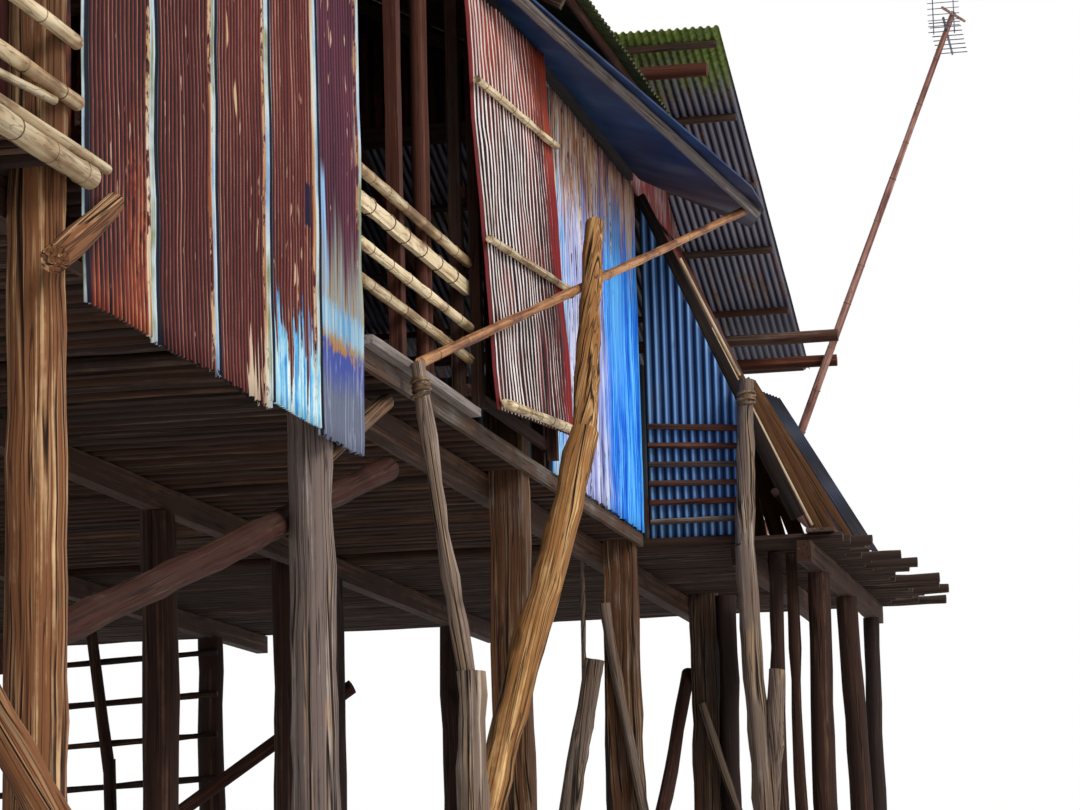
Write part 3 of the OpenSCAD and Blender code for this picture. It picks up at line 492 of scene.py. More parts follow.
blue.paint(blue.window(along, 9.00, 9.35), lilac)
blue.paint(blue.window(blue.uneven(along, streak=0.8), 10.30, 10.70), strong)
cyan_run = blue.zone(blue.side, 10.75, 11.25, 0.12)
blue.paint(cyan_run * blue.window(blue.uneven(blue.height, streak=1.5), 3.9, 4.6) * 0.6, tint(92, 180, 244))
rust = blue.ramp(blue.streak * 0.4 + blue.grained * 0.3 + blue.mottle * 0.3, stops(
    (0.34, 52, 26, 22), (0.43, 128, 70, 40), (0.50, 184, 124, 72), (0.57, 210, 186, 156),
    (0.66, 96, 78, 100)))
top_rust = blue.window(blue.uneven(blue.height, streak=2.1, patch=0.7) - (blue.side - 9.4) * 0.12, 4.95, 5.45)
blue.paint(top_rust * blue.window(blue.side, 8.70, 8.95) * 0.92, rust)
scratch = blue.window(abs(blue.noise(blue.spot, (26, 2, 0.55), 3, 0.6) - 0.5), 0.022, 0.004)
blue.paint(scratch * blue.window(blue.side, 11.3, 10.3) * 0.9, tint(26, 18, 36))
white_run = blue.window(blue.uneven(blue.noise(blue.spot, (46, 2, 1.1), 2, 0.6), mottle=0.4), 0.58, 0.66)
blue.paint(white_run * blue.window(blue.side, 11.2, 10.4) * 0.7, tint(220, 222, 230))
scar = blue.window(blue.uneven(blue.streak, fleck=0.6), 0.64, 0.69)
blue.paint(scar * blue.zone(blue.side, 9.0, 11.2, 0.2) * 0.85, tint(40, 18, 18))
# Painted shade: the troughs go dark navy.
blue.paint(blue.window(blue.crest, 0.55, 0.10) * 0.55, tint(16, 22, 66))
lap_place = abs(blue.maths("FRACT", (blue.side - BLUE_START) / SHEET + 0.5) - 0.5)
# Painted shadow: a dark line along each lap.
blue.paint(blue.window(lap_place, 0.014, 0.006) * 0.7, tint(18, 22, 56))
# Painted shade: the wall's end darkens where it meets the return wall.
blue.paint(blue.window(blue.side, 11.80, 11.90) * 0.5, tint(14, 30, 90))
blue.feed("Alpha", blue.uneven(blue.height, streak=0.05, fleck=0.02) > BLUE_FOOT)
blue_iron = blue.finished()
print("blue sheets ready")

# %% [markdown]
# The return wall is bare zinc gone steel blue, with a painted highlight on its crests. The same recipe in
# other tones makes the rear wall, the ends, the gable, the screen and the roofs, so it is written once, with
# one row for each. Moss grows on the roofs, on the main roof towards the eaves.

# %% Bare and roofing iron
def bare_iron(name, across, start, waves, run, trough, middle, crest, rust, rust_share, crest_share=0.5,
              moss=None, moss_from=None):
    iron = Iron(name, across, start, SHEET / waves, run)
    trough, middle, crest, rust = tints(trough, middle, crest, rust)
    # Painted shade and highlight: the trough colour fills the troughs, the crest colour the crests.
    iron.shown = iron.ramp(iron.crest * crest_share + iron.streak * (0.85 - crest_share) + iron.patch * 0.15,
                           [(0.2, trough), (0.45, middle), (0.6, middle), (0.82, crest)])
    dark, light = tuple(c * 0.4 for c in rust), tuple(min(1, c * 1.7) for c in rust)
    iron.paint(iron.window(iron.patch * 0.40 + iron.streak * 0.42 + iron.fleck * 0.18,
                           0.60 - 0.20 * rust_share, 0.70 - 0.17 * rust_share),
               iron.ramp(iron.streak * 0.6 + iron.fleck * 0.4, [(0.3, dark), (0.5, rust), (0.7, light)]))
    if moss:
        moss = tint(*moss)
        damp = iron.window(iron.height, *moss_from)
        growth = iron.patch * 0.45 + iron.streak * 0.25 + iron.fleck * 0.3 + damp * 0.30
        iron.paint(iron.window(growth, 0.54, 0.78),
                   iron.ramp(iron.fleck, [(0.35, tuple(c * 0.4 for c in moss)), (0.6, moss)]))
    return iron.finished()


BARE = {
    "return_zinc": ("Y", -0.1576, 13, DOWN_Y, (12, 26, 54), (46, 80, 124), (128, 168, 208), (50, 46, 54),
                    0.25, 0.62),
    "rear_zinc": ("X", RED_START, 8, DOWN_X, (26, 30, 38), (78, 86, 94), (146, 154, 160), (112, 62, 38), 0.6),
    "end_zinc": ("Y", -0.0943, 8, DOWN_Y, (26, 28, 36), (78, 84, 92), (146, 152, 158), (112, 60, 36), 0.7),
    "end_red": ("Y", 6.394, 8, DOWN_Y, (20, 7, 10), (58, 20, 22), (112, 54, 48), (108, 48, 28), 0.5),
    "pink_iron": ("X", 11.97, 13, DOWN_X, (36, 16, 20), (112, 74, 72), (180, 156, 150), (98, 34, 30), 0.8),
    "screen_iron": ("X", 12.12, 12, (24, 0.6, 0.45), (24, 12, 16), (104, 62, 54), (196, 160, 146),
                    (96, 46, 34), 0.6),
    "flap_iron": ("X", 12.12, 12, (24, 0.6, 0.45), (6, 9, 20), (16, 22, 38), (52, 58, 72), (40, 24, 20), 0.5),
    "main_roof_iron": ("X", -1.7, 8, (24, 0.45, 0.45), (28, 20, 15), (78, 60, 46), (134, 116, 98),
                       (108, 52, 27), 0.9, 0.5, (74, 78, 36), (7.6, 6.2)),
    "end_roof_iron": ("Y", -0.85, 14, (0.45, 24, 0.45), (26, 27, 42), (88, 88, 108), (164, 160, 164),
                      (118, 70, 44), 0.35, 0.6, (134, 152, 74), (6.60, 6.95)),
}
bare = {name: bare_iron(name, *row) for name, row in BARE.items()}
print("bare iron ready:", list(bare))

# %% [markdown]
# The awning is one flat sheet in dark navy. Its underside shows stains and a few rusty runs, and grows
# brown towards its far corner, a painted highlight.

# %% Awning sheet
navy = Finish("awning_navy", roughness=0.55, specular=0.3)
spot = navy.place()
stain = navy.noise(spot, (1.4, 2.4, 2.0), 4, 0.6)
run = navy.noise(spot, (3.2, 0.7, 1.0), 3, 0.55)
blues = navy.ramp(stain * 0.6 + run * 0.4, stops(
    (0.30, 10, 20, 48), (0.46, 20, 44, 84), (0.58, 38, 66, 106), (0.74, 98, 108, 124)))
# Painted highlight: brown light towards the far corner.
highlight_browns = navy.ramp(run, stops((0.4, 42, 30, 30), (0.6, 88, 66, 46)))
far_corner_highlight = navy.window(navy.part(spot, "X") + (stain - 0.5) * 2.0, 10.2, 12.6)
navy.feed("Base Color", navy.mix(far_corner_highlight * 0.55, blues, highlight_browns))
navy.bump(stain, 0.004)
print("awning ready")

# %% [markdown]
# No pole in such a house is straight. A copy of each timber node is cut into short lengths and pushed about
# by one slow pattern that fills the whole space. Pieces that touch are pushed alike, so every joint stays
# closed. A second, smaller pattern makes the surface knobbly, and a third one dents the sheets. Cloud
# textures serve as patterns, because a Displace modifier reads them by place.

# %% Patterns that push points about
FLOOR_Z = 3.35      # top of the floor, in metres
CROOK = 0.07        # from one end of a slow push to the other
WALL_SWAY = 0.22    # share of the slow push that is left from the floor up
SLIDE = 0.3         # share of it that is left along the face of a sheet
SOFT_TIMBER, SOFT_SHEET = 50, 75    # edges that turn by fewer degrees are shaded smooth


def clouds(name, size):
    pattern = bpy.data.textures.new(name, "CLOUDS")
    pattern.noise_scale = size
    pattern.noise_depth = 1
    return pattern


SLOW_X, SLOW_Y, SLOW_Z = (clouds(n, s) for n, s in (("slow_x", 1.7), ("slow_y", 1.9), ("slow_z", 2.4)))
KNOBS = clouds("knobs", 0.20)
DENTS = clouds("dents", 0.42)
SLOW = ((SLOW_X, "X", CROOK), (SLOW_Y, "Y", CROOK), (SLOW_Z, "Z", CROOK * 0.5))
print("patterns:", [pattern.name for pattern in bpy.data.textures])

# %% [markdown]
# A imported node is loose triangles, so its copy is merged first, and flat faces are put together. Then the
# copy is cut across its length, because a long face with no points along it can't bend.

# %% Copying and cutting a node
def only(o):
    """Selects one object and nothing else, as every operator below needs."""
    for other in bpy.context.selected_objects:
        other.select_set(False)
    o.select_set(True)
    bpy.context.view_layer.objects.active = o


def edited(o, *steps):
    """Takes each step on the whole mesh, in edit mode."""
    only(o)
    bpy.ops.object.mode_set(mode="EDIT")
    for step in steps:
        bpy.ops.mesh.select_all(action="SELECT")
        step()
    bpy.ops.object.mode_set(mode="OBJECT")


def copy_of(node, name):
    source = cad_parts[node]
    made = bpy.data.objects.new(name, source.data.copy())
    bpy.context.collection.objects.link(made)
    edited(made, lambda: bpy.ops.mesh.remove_doubles(threshold=0.00005),
           lambda: bpy.ops.mesh.dissolve_limited(angle_limit=math.radians(0.5)))
    return made


def cut_rings(o, axis, step):
    """Cuts the mesh across an axis at even places."""
    normal = [float(axis == other) for other in "xyz"]
    along = [v.co["xyz".index(axis)] for v in o.data.vertices]
    low, high = min(along), max(along)
    count = int((high - low) / step)

    def cut(place):
        return lambda: bpy.ops.mesh.bisect(plane_co=[place * n for n in normal], plane_no=normal)

    edited(o, *(cut(low + k * (high - low) / (count + 1)) for k in range(1, count + 1)))


print("ready to copy", len(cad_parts), "nodes")

# %% [markdown]
# Timber weathers by where it stands: grey and pale in the open, brown under cover, and painted dark there as
# shade. Each rule below takes the middle of one solid and gives its tone, from 0 for brown to 1 for grey,
# and its shade, from 0 for black up.

# %% Tones of the timber
def post_tones(x, y, z):
    if x < 2:
        return 0.12, 1.0
    return (0.95, 0.92) if x < 5 else (0.3, 0.48) if x < 13 else (0.5, 0.28)


def pole_tones(x, y, z):
    return (0.8, 0.95) if x < 5.1 and y > -0.6 else (0.0, 1.0) if x < 10 else (0.85, 0.85)


def deck_tones(x, y, z):
    """The deck's poles are grey where they lie in the open; the rest is painted nearly black, as shade."""
    return (0.9, 1.25) if x > 12.2 else (0.4, 0.75)


def rim_tones(x, y, z):
    """The doorway's sill is pale grey; the board below it is painted dark brown, as shade under the floor."""
    return (0.95, 0.78) if z > FLOOR_Z else (0.5, 0.3)


def beam_tones(x, y, z):
    """The awning's beam is slate grey; the ledger it hangs from is painted nearly black, as shade."""
    return (1.0, 0.55) if y < -0.4 else (1.0, 0.12)


def rail_tones(x, y, z):
    return (0.3, 0.75) if z < FLOOR_Z else (0.4, 1.0)


def same_tones(tone, shade):
    """The same tone and shade for every solid of a piece."""
    return lambda x, y, z: (tone, shade)


print("first post, tone and shade:", post_tones(0, 0, 1))

# %% [markdown]
# A node holds many solids, such as all the posts of a row. Each gets its own lengthwise coordinate, found
# as the direction in which its points spread most, and a seed that shifts the grain so that no two look
# alike.

# %% Solids and their grain
POST_TOP_SHADE = 0.6    # the front posts are darker above the floor


def islands(mesh):
    """Vertex numbers of each separate solid."""
    parent = list(range(len(mesh.vertices)))

    def root(i):
        while parent[i] != i:
            parent[i] = parent[parent[i]]
            i = parent[i]
        return i

    for edge in mesh.edges:
        a, b = (root(i) for i in edge.vertices)
        if a != b:
            parent[a] = b
    groups = {}
    for i in range(len(parent)):
        groups.setdefault(root(i), []).append(i)
    return list(groups.values())


def in_a_row(values):
    """The plain list of numbers that an attribute takes."""
    return values.astype(np.float32).ravel()


def mark_grain(o, tones=None):
    """Stores each solid's lengthwise coordinate, its tone and its shade for the timber finish."""
    mesh = o.data
    spots = np.array([v.co for v in mesh.vertices])
    grain = np.zeros_like(spots)
    tone = np.zeros(len(spots))
    shade = np.ones(len(spots))
    for group in islands(mesh):
        own = spots[group]
        middle = own.mean(axis=0)
        spread = own - middle
        _, _, turned = np.linalg.svd(spread[:: max(1, len(group) // 400)], full_matrices=False)
        seed = float(abs(np.sin(np.round(middle, 2) @ np.array([12.98, 78.23, 37.7])) * 43758.5453) % 1)
        across, aside, along = (spread @ turned[k] for k in (1, 2, 0))
        grain[group] = np.stack([across, aside, along], axis=1) + seed * 17
        tone[group], shade[group] = tones(*middle) if tones else (seed, 0.85 + 0.3 * seed)
    if tones is post_tones:
        shade[spots[:, 2] > FLOOR_Z] *= POST_TOP_SHADE
    mesh.attributes.new("grain", "FLOAT_VECTOR", "POINT").data.foreach_set("vector", in_a_row(grain))
    mesh.attributes.new("tone", "FLOAT", "POINT").data.foreach_set("value", in_a_row(tone))
    mesh.attributes.new("shade", "FLOAT", "POINT").data.foreach_set("value", in_a_row(shade))


print("front posts:", len(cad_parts["front_posts"].data.vertices), "loose points in the packed node")

# %% [markdown]
# The slow push is full near the ground, where poles are crooked, and small from the floor up, where sheets
# must keep straight laps. A vertex group holds that share, and the Displace modifier reads it.

# %% Pushing and smoothing
def push(o, pattern, direction, strength, share=""):
    """Moves points along a direction, by as much as the pattern says at their place."""
    change = o.modifiers.new("push", "DISPLACE")
    change.texture = pattern
    change.texture_coords = "LOCAL"
    change.direction = direction
    change.strength = strength
    change.mid_level = 0.5
    change.vertex_group = share
    only(o)
    bpy.ops.object.modifier_apply(modifier=change.name)


def sway(o, pushes=SLOW, face=None):
    """The slow pushes. A sheet is pushed square to its face, and hardly along it."""
    group = o.vertex_groups.new(name="sway")
    for v in o.data.vertices:
        low = min(1.0, max(0.0, (FLOOR_Z - 0.1 - v.co.z) / 1.0))
        group.add([v.index], WALL_SWAY + (1 - WALL_SWAY) * low * low * (3 - 2 * low), "REPLACE")
    for pattern, direction, strength in pushes:
        push(o, pattern, direction, strength if face in (None, direction) else strength * SLIDE, "sway")


def smooth(o, angle):
    """Shades smooth over edges that turn by less than an angle in degrees."""
    only(o)
    bpy.ops.object.shade_smooth_by_angle(angle=math.radians(angle))


print("a slow push moves a point by up to", CROOK / 2, "m")

# %% [markdown]
# A finished piece gets its material, rides on the house, and stands for the nodes that it copies. A push
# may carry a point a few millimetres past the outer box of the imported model, so the points are held inside
# it.

# %% Hanging a finished piece
BOX_ROOM = 0.0005


def keep_inside(o):
    for v in o.data.vertices:
        for k in range(3):
            v.co[k] = min(max(v.co[k], cad_box[0][k] + BOX_ROOM), cad_box[1][k] - BOX_ROOM)


def hang(o, node_names, material):
    keep_inside(o)
    o.data.materials.clear()
    o.data.materials.append(material)
    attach(o, "root")
    if node_names:
        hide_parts(*node_names)


print("pieces stay within", cad_box)

# %% [markdown]
# Two nodes change their length a little. The deck's poles were cut by eye, so their front ends are uneven.
# The thin brace below the far end runs on down towards the ground.

# %% Uneven ends and a longer brace
POLE_ENDS = 0.45
MORE_BRACE = 1.6


def chance(number):
    """A number from 0 to 1 that looks random and is the same each time."""
    return abs(math.sin(number * 12.9898) * 43758.5453) % 1


def stretch_ends(o):
    for k, group in enumerate(islands(o.data)):
        front = min(o.data.vertices[i].co.y for i in group)
        if front < -1.0:
            for i in group:
                if o.data.vertices[i].co.y < front + 0.01:
                    o.data.vertices[i].co.y -= POLE_ENDS * (chance(k + 1) ** 2 - 0.25)


def lengthen_far_brace(o):
    for group in islands(o.data):
        own = [o.data.vertices[i] for i in group]
        if min(v.co.x for v in own) > 13:
            middle = sum(v.co.z for v in own) / len(own)
            low = [v for v in own if v.co.z < middle]
            high = [v for v in own if v.co.z >= middle]
            low_middle, high_middle = (sum((v.co for v in end), Vector()) / len(end) for end in (low, high))
            along = low_middle - high_middle
            for v in low:
                v.co += along.normalized() * MORE_BRACE


RESHAPED = {"deck_poles": stretch_ends, "floor_brace": lengthen_far_brace}
print("reshaped:", list(RESHAPED))

# %% [markdown]
# Now the steps come together. Posts and stakes stand in the ground, so they aren't pushed up or down.

# %% Weathering one piece
GROUNDED = {"front_posts", "middle_posts", "rear_posts", "deck_posts", "under_posts", "porch_log",
            "leaning_poles", "stakes", "rear_rails"}


def weather(piece, axis, step, knobs, tones=None, rise=True):
    cut_rings(piece, axis, step)
    mark_grain(piece, tones)
    sway(piece, SLOW if rise else SLOW[:2])
    if knobs:
        push(piece, KNOBS, "NORMAL", knobs)
    smooth(piece, SOFT_TIMBER)


def weathered(node, material, axis, step, knobs, tones=None):
    piece = copy_of(node, "worn_" + node)
    if node in RESHAPED:
        RESHAPED[node](piece)
    weather(piece, axis, step, knobs, tones, node not in GROUNDED)
    hang(piece, [node], material)
    print(piece.name, len(piece.data.polygons), "faces")


print("nodes that stand in the ground:", len(GROUNDED))

# %% [markdown]
# One row for each timber node: its finish, the axis that it is cut across, the length of a cut, the height
# of its knobs, and the rule for its tones. Thick posts get short cuts and strong knobs, sawn timber hardly
# any.

# %% Every timber node
TIMBER = {
    "front_posts": (post_wood, "z", 0.16, 0.03, post_tones), "middle_posts": (inner_wood_painted_shade, "z", 0.3, 0.03),
    "rear_posts": (inner_wood_painted_shade, "z", 0.3, 0.03), "deck_posts": (inner_wood_painted_shade, "z", 0.25, 0.02),
    "under_posts": (inner_wood_painted_shade, "z", 0.25, 0.03), "front_beam": (floor_wood_painted_shade, "x", 0.4, 0.012),
    "middle_beams": (floor_wood_painted_shade, "x", 0.5, 0.012), "rear_beam": (floor_wood_painted_shade, "x", 0.5, 0.012),
    "deck_beams": (floor_wood_painted_shade, "x", 0.4, 0.012), "floor_joists": (floor_wood_painted_shade, "y", 0.25, 0.016),
    "deck_poles": (floor_wood_painted_shade, "y", 0.25, 0.02, deck_tones), "floor_boards": (floor_wood_painted_shade, "x", 0.6, 0.0),
    "deck_boards": (frame_wood, "x", 0.3, 0.01), "rim_boards": (plank_wood, "x", 0.3, 0.01, rim_tones),
    "wall_frame": (frame_wood, "x", 0.6, 0.004, same_tones(0.5, 0.45)),
    "door_frame": (frame_wood, "z", 0.3, 0.012, same_tones(0.2, 0.75)),
    "door_rails": (bamboo, "x", 0.2, 0.01), "sheet_battens": (bamboo, "x", 0.2, 0.012),
    "porch_rails": (bamboo, "x", 0.2, 0.01, rail_tones),
    "porch_log": (post_wood, "z", 0.12, 0.04, post_tones),
    "rear_rails": (inner_wood_painted_shade, "y", 0.25, 0.02), "deck_rails": (frame_wood, "y", 0.15, 0.012),
    "roof_frame": (frame_wood, "y", 0.5, 0.006), "roof_purlins": (frame_wood, "x", 0.5, 0.01),
    "end_roof_frame": (frame_wood, "y", 0.4, 0.008),
    "awning_beam": (plank_wood, "x", 0.3, 0.012, beam_tones), "awning_prop": (red_cane, "x", 0.2, 0.014),
    "screen_frame": (frame_wood, "x", 0.4, 0.008, same_tones(0.6, 0.35)),
    "floor_brace": (frame_wood, "x", 0.2, 0.03, same_tones(0.35, 0.5)),
    "leaning_poles": (pole_wood, "z", 0.12, 0.045, pole_tones),
    "stakes": (pole_wood, "z", 0.2, 0.03, same_tones(0.75, 0.7)), "aerial_mast": (mast_cane, "z", 0.3, 0.006),
}
for node_name, row in TIMBER.items():
    weathered(node_name, *row)

# %% [markdown]
# The sheets are copied in the same way, cut across their waves, pushed by the same slow pattern as the
# timber they are nailed to, and dented a little square to their face, so that both faces move together.
# Along its face a sheet hardly moves, so that laps stay straight.

# %% Dented sheets
def dented(node, material, axis, face, step, dents):
    piece = copy_of(node, "dented_" + node)
    cut_rings(piece, axis, step)
    sway(piece, face=face)
    push(piece, DENTS, face, dents)
    smooth(piece, SOFT_SHEET)
    hang(piece, [node], material)
    print(piece.name, len(piece.data.polygons), "faces")


IRON = {
    "left_front_sheets": (red_iron, "z", "Y", 0.12, 0.014),
    "brown_front_sheets": (white_red_iron, "z", "Y", 0.12, 0.026),
    "blue_front_sheets": (blue_iron, "z", "Y", 0.12, 0.018),
    "grey_return_wall": (bare["return_zinc"], "z", "X", 0.2, 0.012),
    "rear_wall": (bare["rear_zinc"], "z", "Y", 0.4, 0.02),
    "left_end_wall": (bare["end_red"], "z", "X", 0.4, 0.02),
    "right_end_wall": (bare["end_zinc"], "z", "X", 0.4, 0.02),
    "end_front_sheets": (bare["pink_iron"], "z", "Y", 0.3, 0.015),
    "main_roof_front": (bare["main_roof_iron"], "y", "Z", 0.4, 0.02),
    "main_roof_rear": (bare["main_roof_iron"], "y", "Z", 0.4, 0.02),
    "end_roof": (bare["end_roof_iron"], "x", "Z", 0.4, 0.02),
    "gable_walls": (bare["end_red"], "z", "X", 0.5, 0.02),
    "awning": (navy.material, "x", "Z", 0.4, 0.02),
    "slanted_screen": (bare["screen_iron"], "z", "Y", 0.2, 0.02),
}
for node_name, row in IRON.items():
    dented(node_name, *row)

# %% [markdown]
# The rest is small or plain stuff that such a house gathers. Each round pole starts as a cone of the right
# length that is turned into place, and each board as a box with its edges bevelled. Then they are cut,
# pushed and marked like the copies, so that they stay on what carries them.

# %% Poles and boards made new
def placed(name, start, end, flat=None):
    """Turns the new primitive so that it runs from start to end, its own X towards flat."""
    made = bpy.context.object
    made.name = name
    along = (end - start).normalized()
    if flat is None:
        turn = along.to_track_quat("Z", "Y").to_matrix()
    else:
        turn = Matrix((flat, along.cross(flat), along)).transposed()
    middle = Matrix.Translation((start + end) / 2)
    made.matrix_world = middle @ turn.to_4x4() @ Matrix.Diagonal((*made.scale, 1))
    bpy.ops.object.transform_apply(location=True, rotation=True, scale=True)
    return made


def limb(name, start, end, thick, thin, sides=12):
    start, end = Vector(start), Vector(end)
    bpy.ops.object.select_all(action="DESELECT")
    bpy.ops.mesh.primitive_cone_add(vertices=sides, radius1=thick / 2, radius2=thin / 2,
                                    depth=(end - start).length)
    return placed(name, start, end)


def board(name, start, end, thickness, width):
    start, end = Vector(start), Vector(end)
    bpy.ops.object.select_all(action="DESELECT")
    bpy.ops.mesh.primitive_cube_add(size=1)
    bpy.context.object.scale = (thickness, width, (end - start).length)
    made = placed(name, start, end, Vector((1, 0, 0)))
    edited(made, lambda: bpy.ops.mesh.bevel(offset=0.003, segments=1))
    return made


def joined(name, pieces):
    bpy.ops.object.select_all(action="DESELECT")
    for piece in pieces:
        piece.select_set(True)
    bpy.context.view_layer.objects.active = pieces[0]
    bpy.ops.object.join()
    pieces[0].name = name
    return pieces[0]


def added(piece, material, axis, step, knobs, tones=None):
    """Weathers a new piece and hangs it with no node to stand for."""
    weather(piece, axis, step, knobs, tones)
    hang(piece, [], material)
    print(piece.name, len(piece.data.polygons), "faces")


# %% [markdown]
# A second beam crosses under the low edge of the end roof and touches the mast. A knee props the sill of
# the doorway from the second post, and two thin bamboos lie loose among the rails of the porch.

# %% Eave beam, knee and loose rails
EAVE_X, EAVE_Z = 15.838, 5.219
eave_beam = limb("eave_beam", (EAVE_X, -1.14, EAVE_Z), (EAVE_X, 6.6, EAVE_Z), 0.10, 0.10)
added(eave_beam, frame_wood, "y", 0.25, 0.01, same_tones(0.1, 1.0))
sill_knee = limb("sill_knee", (3.79, -0.03, 2.75), (4.98, -0.03, 3.2065), 0.085, 0.085)
added(sill_knee, pole_wood, "x", 0.25, 0.012, same_tones(0.6, 0.8))
loose_rails = [limb("rail", (-1.6, -0.124, 3.39), (-0.15, -0.124, 3.496), 0.036, 0.036),
               limb("rail", (-1.6, -0.176, 3.318), (0.22, -0.196, 3.318), 0.04, 0.04)]
added(joined("loose_rails", loose_rails), bamboo, "x", 0.25, 0.01, same_tones(0.5, 0.8))

# %% [markdown]
# Above each gable the sheets stop short of the roof, and a board under the roof poles closes the rest. It
# lies along the slope, so two unit vectors, one up the slope and one square to it, place its ends.

# %% Gable boards
EAVE = Vector((0, -0.6, 6.13))
ROOF_RISE = math.atan(2.05 / 3.75)
HOUSE_D = 6.3
GABLE_XS = (0.135, 11.595)
GABLE_FROM, GABLE_TO = 0.45, 4.18    # places up the slope, from the eave
BELOW_ROOF = 0.185
up_slope = Vector((0, math.cos(ROOF_RISE), math.sin(ROOF_RISE)))
square_off = Vector((0, -math.sin(ROOF_RISE), math.cos(ROOF_RISE)))


def gable_board(x, rear):
    low, high = (EAVE + up_slope * place - square_off * BELOW_ROOF for place in (GABLE_FROM, GABLE_TO))
    low.x = high.x = x
    if rear:
        low.y, high.y = HOUSE_D - low.y, HOUSE_D - high.y
    return board("gable_board", low, high, 0.018, 0.33)


gable_boards = joined("gable_boards", [gable_board(x, rear) for x in GABLE_XS for rear in (False, True)])
added(gable_boards, floor_wood_painted_shade, "y", 0.5, 0.0, same_tones(0.4, 0.5))

# %% [markdown]
# The slanted screen has a dark board along its near edge and three thin poles on its face. Six brown boards
# lean on it, three from each side, and stand on the deck.

# %% Boards and poles on the screen
SCREEN_TOP = Vector((12.12, -0.1266, 5.85))
SCREEN_LEAN = math.atan(1.1 / 2.46)
down_screen = Vector((0, -math.sin(SCREEN_LEAN), -math.cos(SCREEN_LEAN)))
off_screen = Vector((0, -math.cos(SCREEN_LEAN), math.sin(SCREEN_LEAN)))


def on_screen(x, down, off):
    """A point x along the screen from its near top corner, down its face, and off it."""
    return SCREEN_TOP + Vector((x, 0, 0)) + off_screen * off + down_screen * down


edge_board = board("screen_edge", on_screen(-0.012, 0, 0.02), on_screen(-0.012, 2.66, 0.02), 0.03, 0.11)
added(edge_board, floor_wood_painted_shade, "z", 0.3, 0.004, same_tones(0.9, 0.45))
thin_poles = [limb("screen_pole", on_screen(x, a, 0.034), on_screen(x + 0.25, b, 0.034), 0.032, 0.024)
              for x, a, b in ((0.10, 0.5, 2.6), (0.55, 1.0, 2.62), (1.0, 0.3, 2.64))]
added(joined("screen_poles", thin_poles), bamboo, "z", 0.3, 0.006, same_tones(0.6, 0.7))
brown_boards = [board("brown_board", (x, -0.70 - out * 0.3, 4.62), (x + 0.04, -1.27 - out, 3.39), 0.016, 0.11)
                for x, out in ((12.95, 0.0), (13.10, 0.09), (13.25, 0.17))]
brown_boards += [board("brown_board", (x, top, 4.45), (x + 0.03, foot, 3.375), 0.016, 0.12)
                 for x, top, foot in ((13.2, -0.65, -0.80), (13.36, -0.67, -0.93), (13.52, -0.69, -1.07))]
added(joined("brown_boards", brown_boards), plank_wood, "z", 0.3, 0.004, same_tones(0.15, 0.36))

# %% [markdown]
# A loose sheet leans on the screen's far end. It is cut from a copy of the screen, so it has the same
# waves, then turned about its top to stand steeper and a little askew.

# %% Leaning sheet
FLAP_LEAN = math.radians(30.8)
FLAP_LENGTH = 1.47
FLAP_XS = (13.34, 14.16)
FLAP_ASKEW = math.radians(-13)
FLAP_TOP = Vector((12.12, -0.42, 4.625))


def kept_between(o, point, normal, inner):
    """Cuts the mesh by a plane, keeps one side and closes the cut."""
    edited(o, lambda: bpy.ops.mesh.bisect(plane_co=point, plane_no=normal, use_fill=True,
                                          clear_inner=inner, clear_outer=not inner))


flap = copy_of("slanted_screen", "leaning_sheet")
kept_between(flap, (FLAP_XS[0], 0, 0), (1, 0, 0), True)
kept_between(flap, (FLAP_XS[1], 0, 0), (1, 0, 0), False)
kept_between(flap, SCREEN_TOP + down_screen * FLAP_LENGTH, down_screen, False)
flap.matrix_world = (Matrix.Translation(FLAP_TOP) @ Matrix.Rotation(FLAP_ASKEW, 4, "Z")
                     @ Matrix.Rotation(-(FLAP_LEAN - SCREEN_LEAN), 4, "X") @ Matrix.Translation(-SCREEN_TOP))
only(flap)
bpy.ops.object.transform_apply(location=True, rotation=True, scale=True)
cut_rings(flap, "z", 0.15)
sway(flap)
smooth(flap, SOFT_SHEET)
hang(flap, [], bare["flap_iron"])
print(flap.name, len(flap.data.polygons), "faces")

# %% [markdown]
# The aerial at the mast's head is a row of thin rods across a boom, with a small grid of rods at its back.
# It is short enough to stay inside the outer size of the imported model.

# %% Aerial rods
ROD_YS = (-2.315, -2.055)
rod_metal = Finish("rod_metal", roughness=0.45, metallic=0.7)
dull = rod_metal.noise(rod_metal.place(), (14, 14, 14), 3, 0.6)
rod_metal.feed("Base Color", rod_metal.ramp(dull, stops((0.35, 36, 38, 46), (0.6, 120, 124, 132))))
rods = [limb("rod", (15.45, -2.185, 7.97), (16.35, -2.185, 7.90), 0.022, 0.018)]
crossing = [(15.55 + 0.11 * k, 7.96 - 0.008 * k, 0.009) for k in range(8)]
crossing += [(15.47, 7.86 + 0.05 * k, 0.007) for k in range(6)]
rods += [limb("rod", (x, ROD_YS[0], z), (x, ROD_YS[1], z), thick, thick, 6) for x, z, thick in crossing]
rods += [limb("rod", (15.47, y, 7.84), (15.47, y, 8.14), 0.009, 0.009, 6) for y in (-2.27, -2.1)]
added(joined("aerial_rods", rods), rod_metal.material, "x", 0.5, 0.0)

# %% [markdown]
# Every bamboo pole has raised rings at its joints, about a hand and a half apart. One thin ring is made for
# each joint, turned square to its own pole, at the middle of the points that lie near it. Where a pole is
# tied, a few rings that lean a little make the turns of cord.

# %% One ring round a pole
def long_way(mesh, group):
    """The points of one solid, their middle, its long direction, and each point's place along that."""
    spots = np.array([mesh.vertices[i].co for i in group])
    middle = spots.mean(axis=0)
    _, _, turned = np.linalg.svd(spots - middle, full_matrices=False)
    along = turned[0] * (1 if turned[0][0] + turned[0][2] > 0 else -1)
    places = (spots - middle) @ along
    return spots, middle, along, places


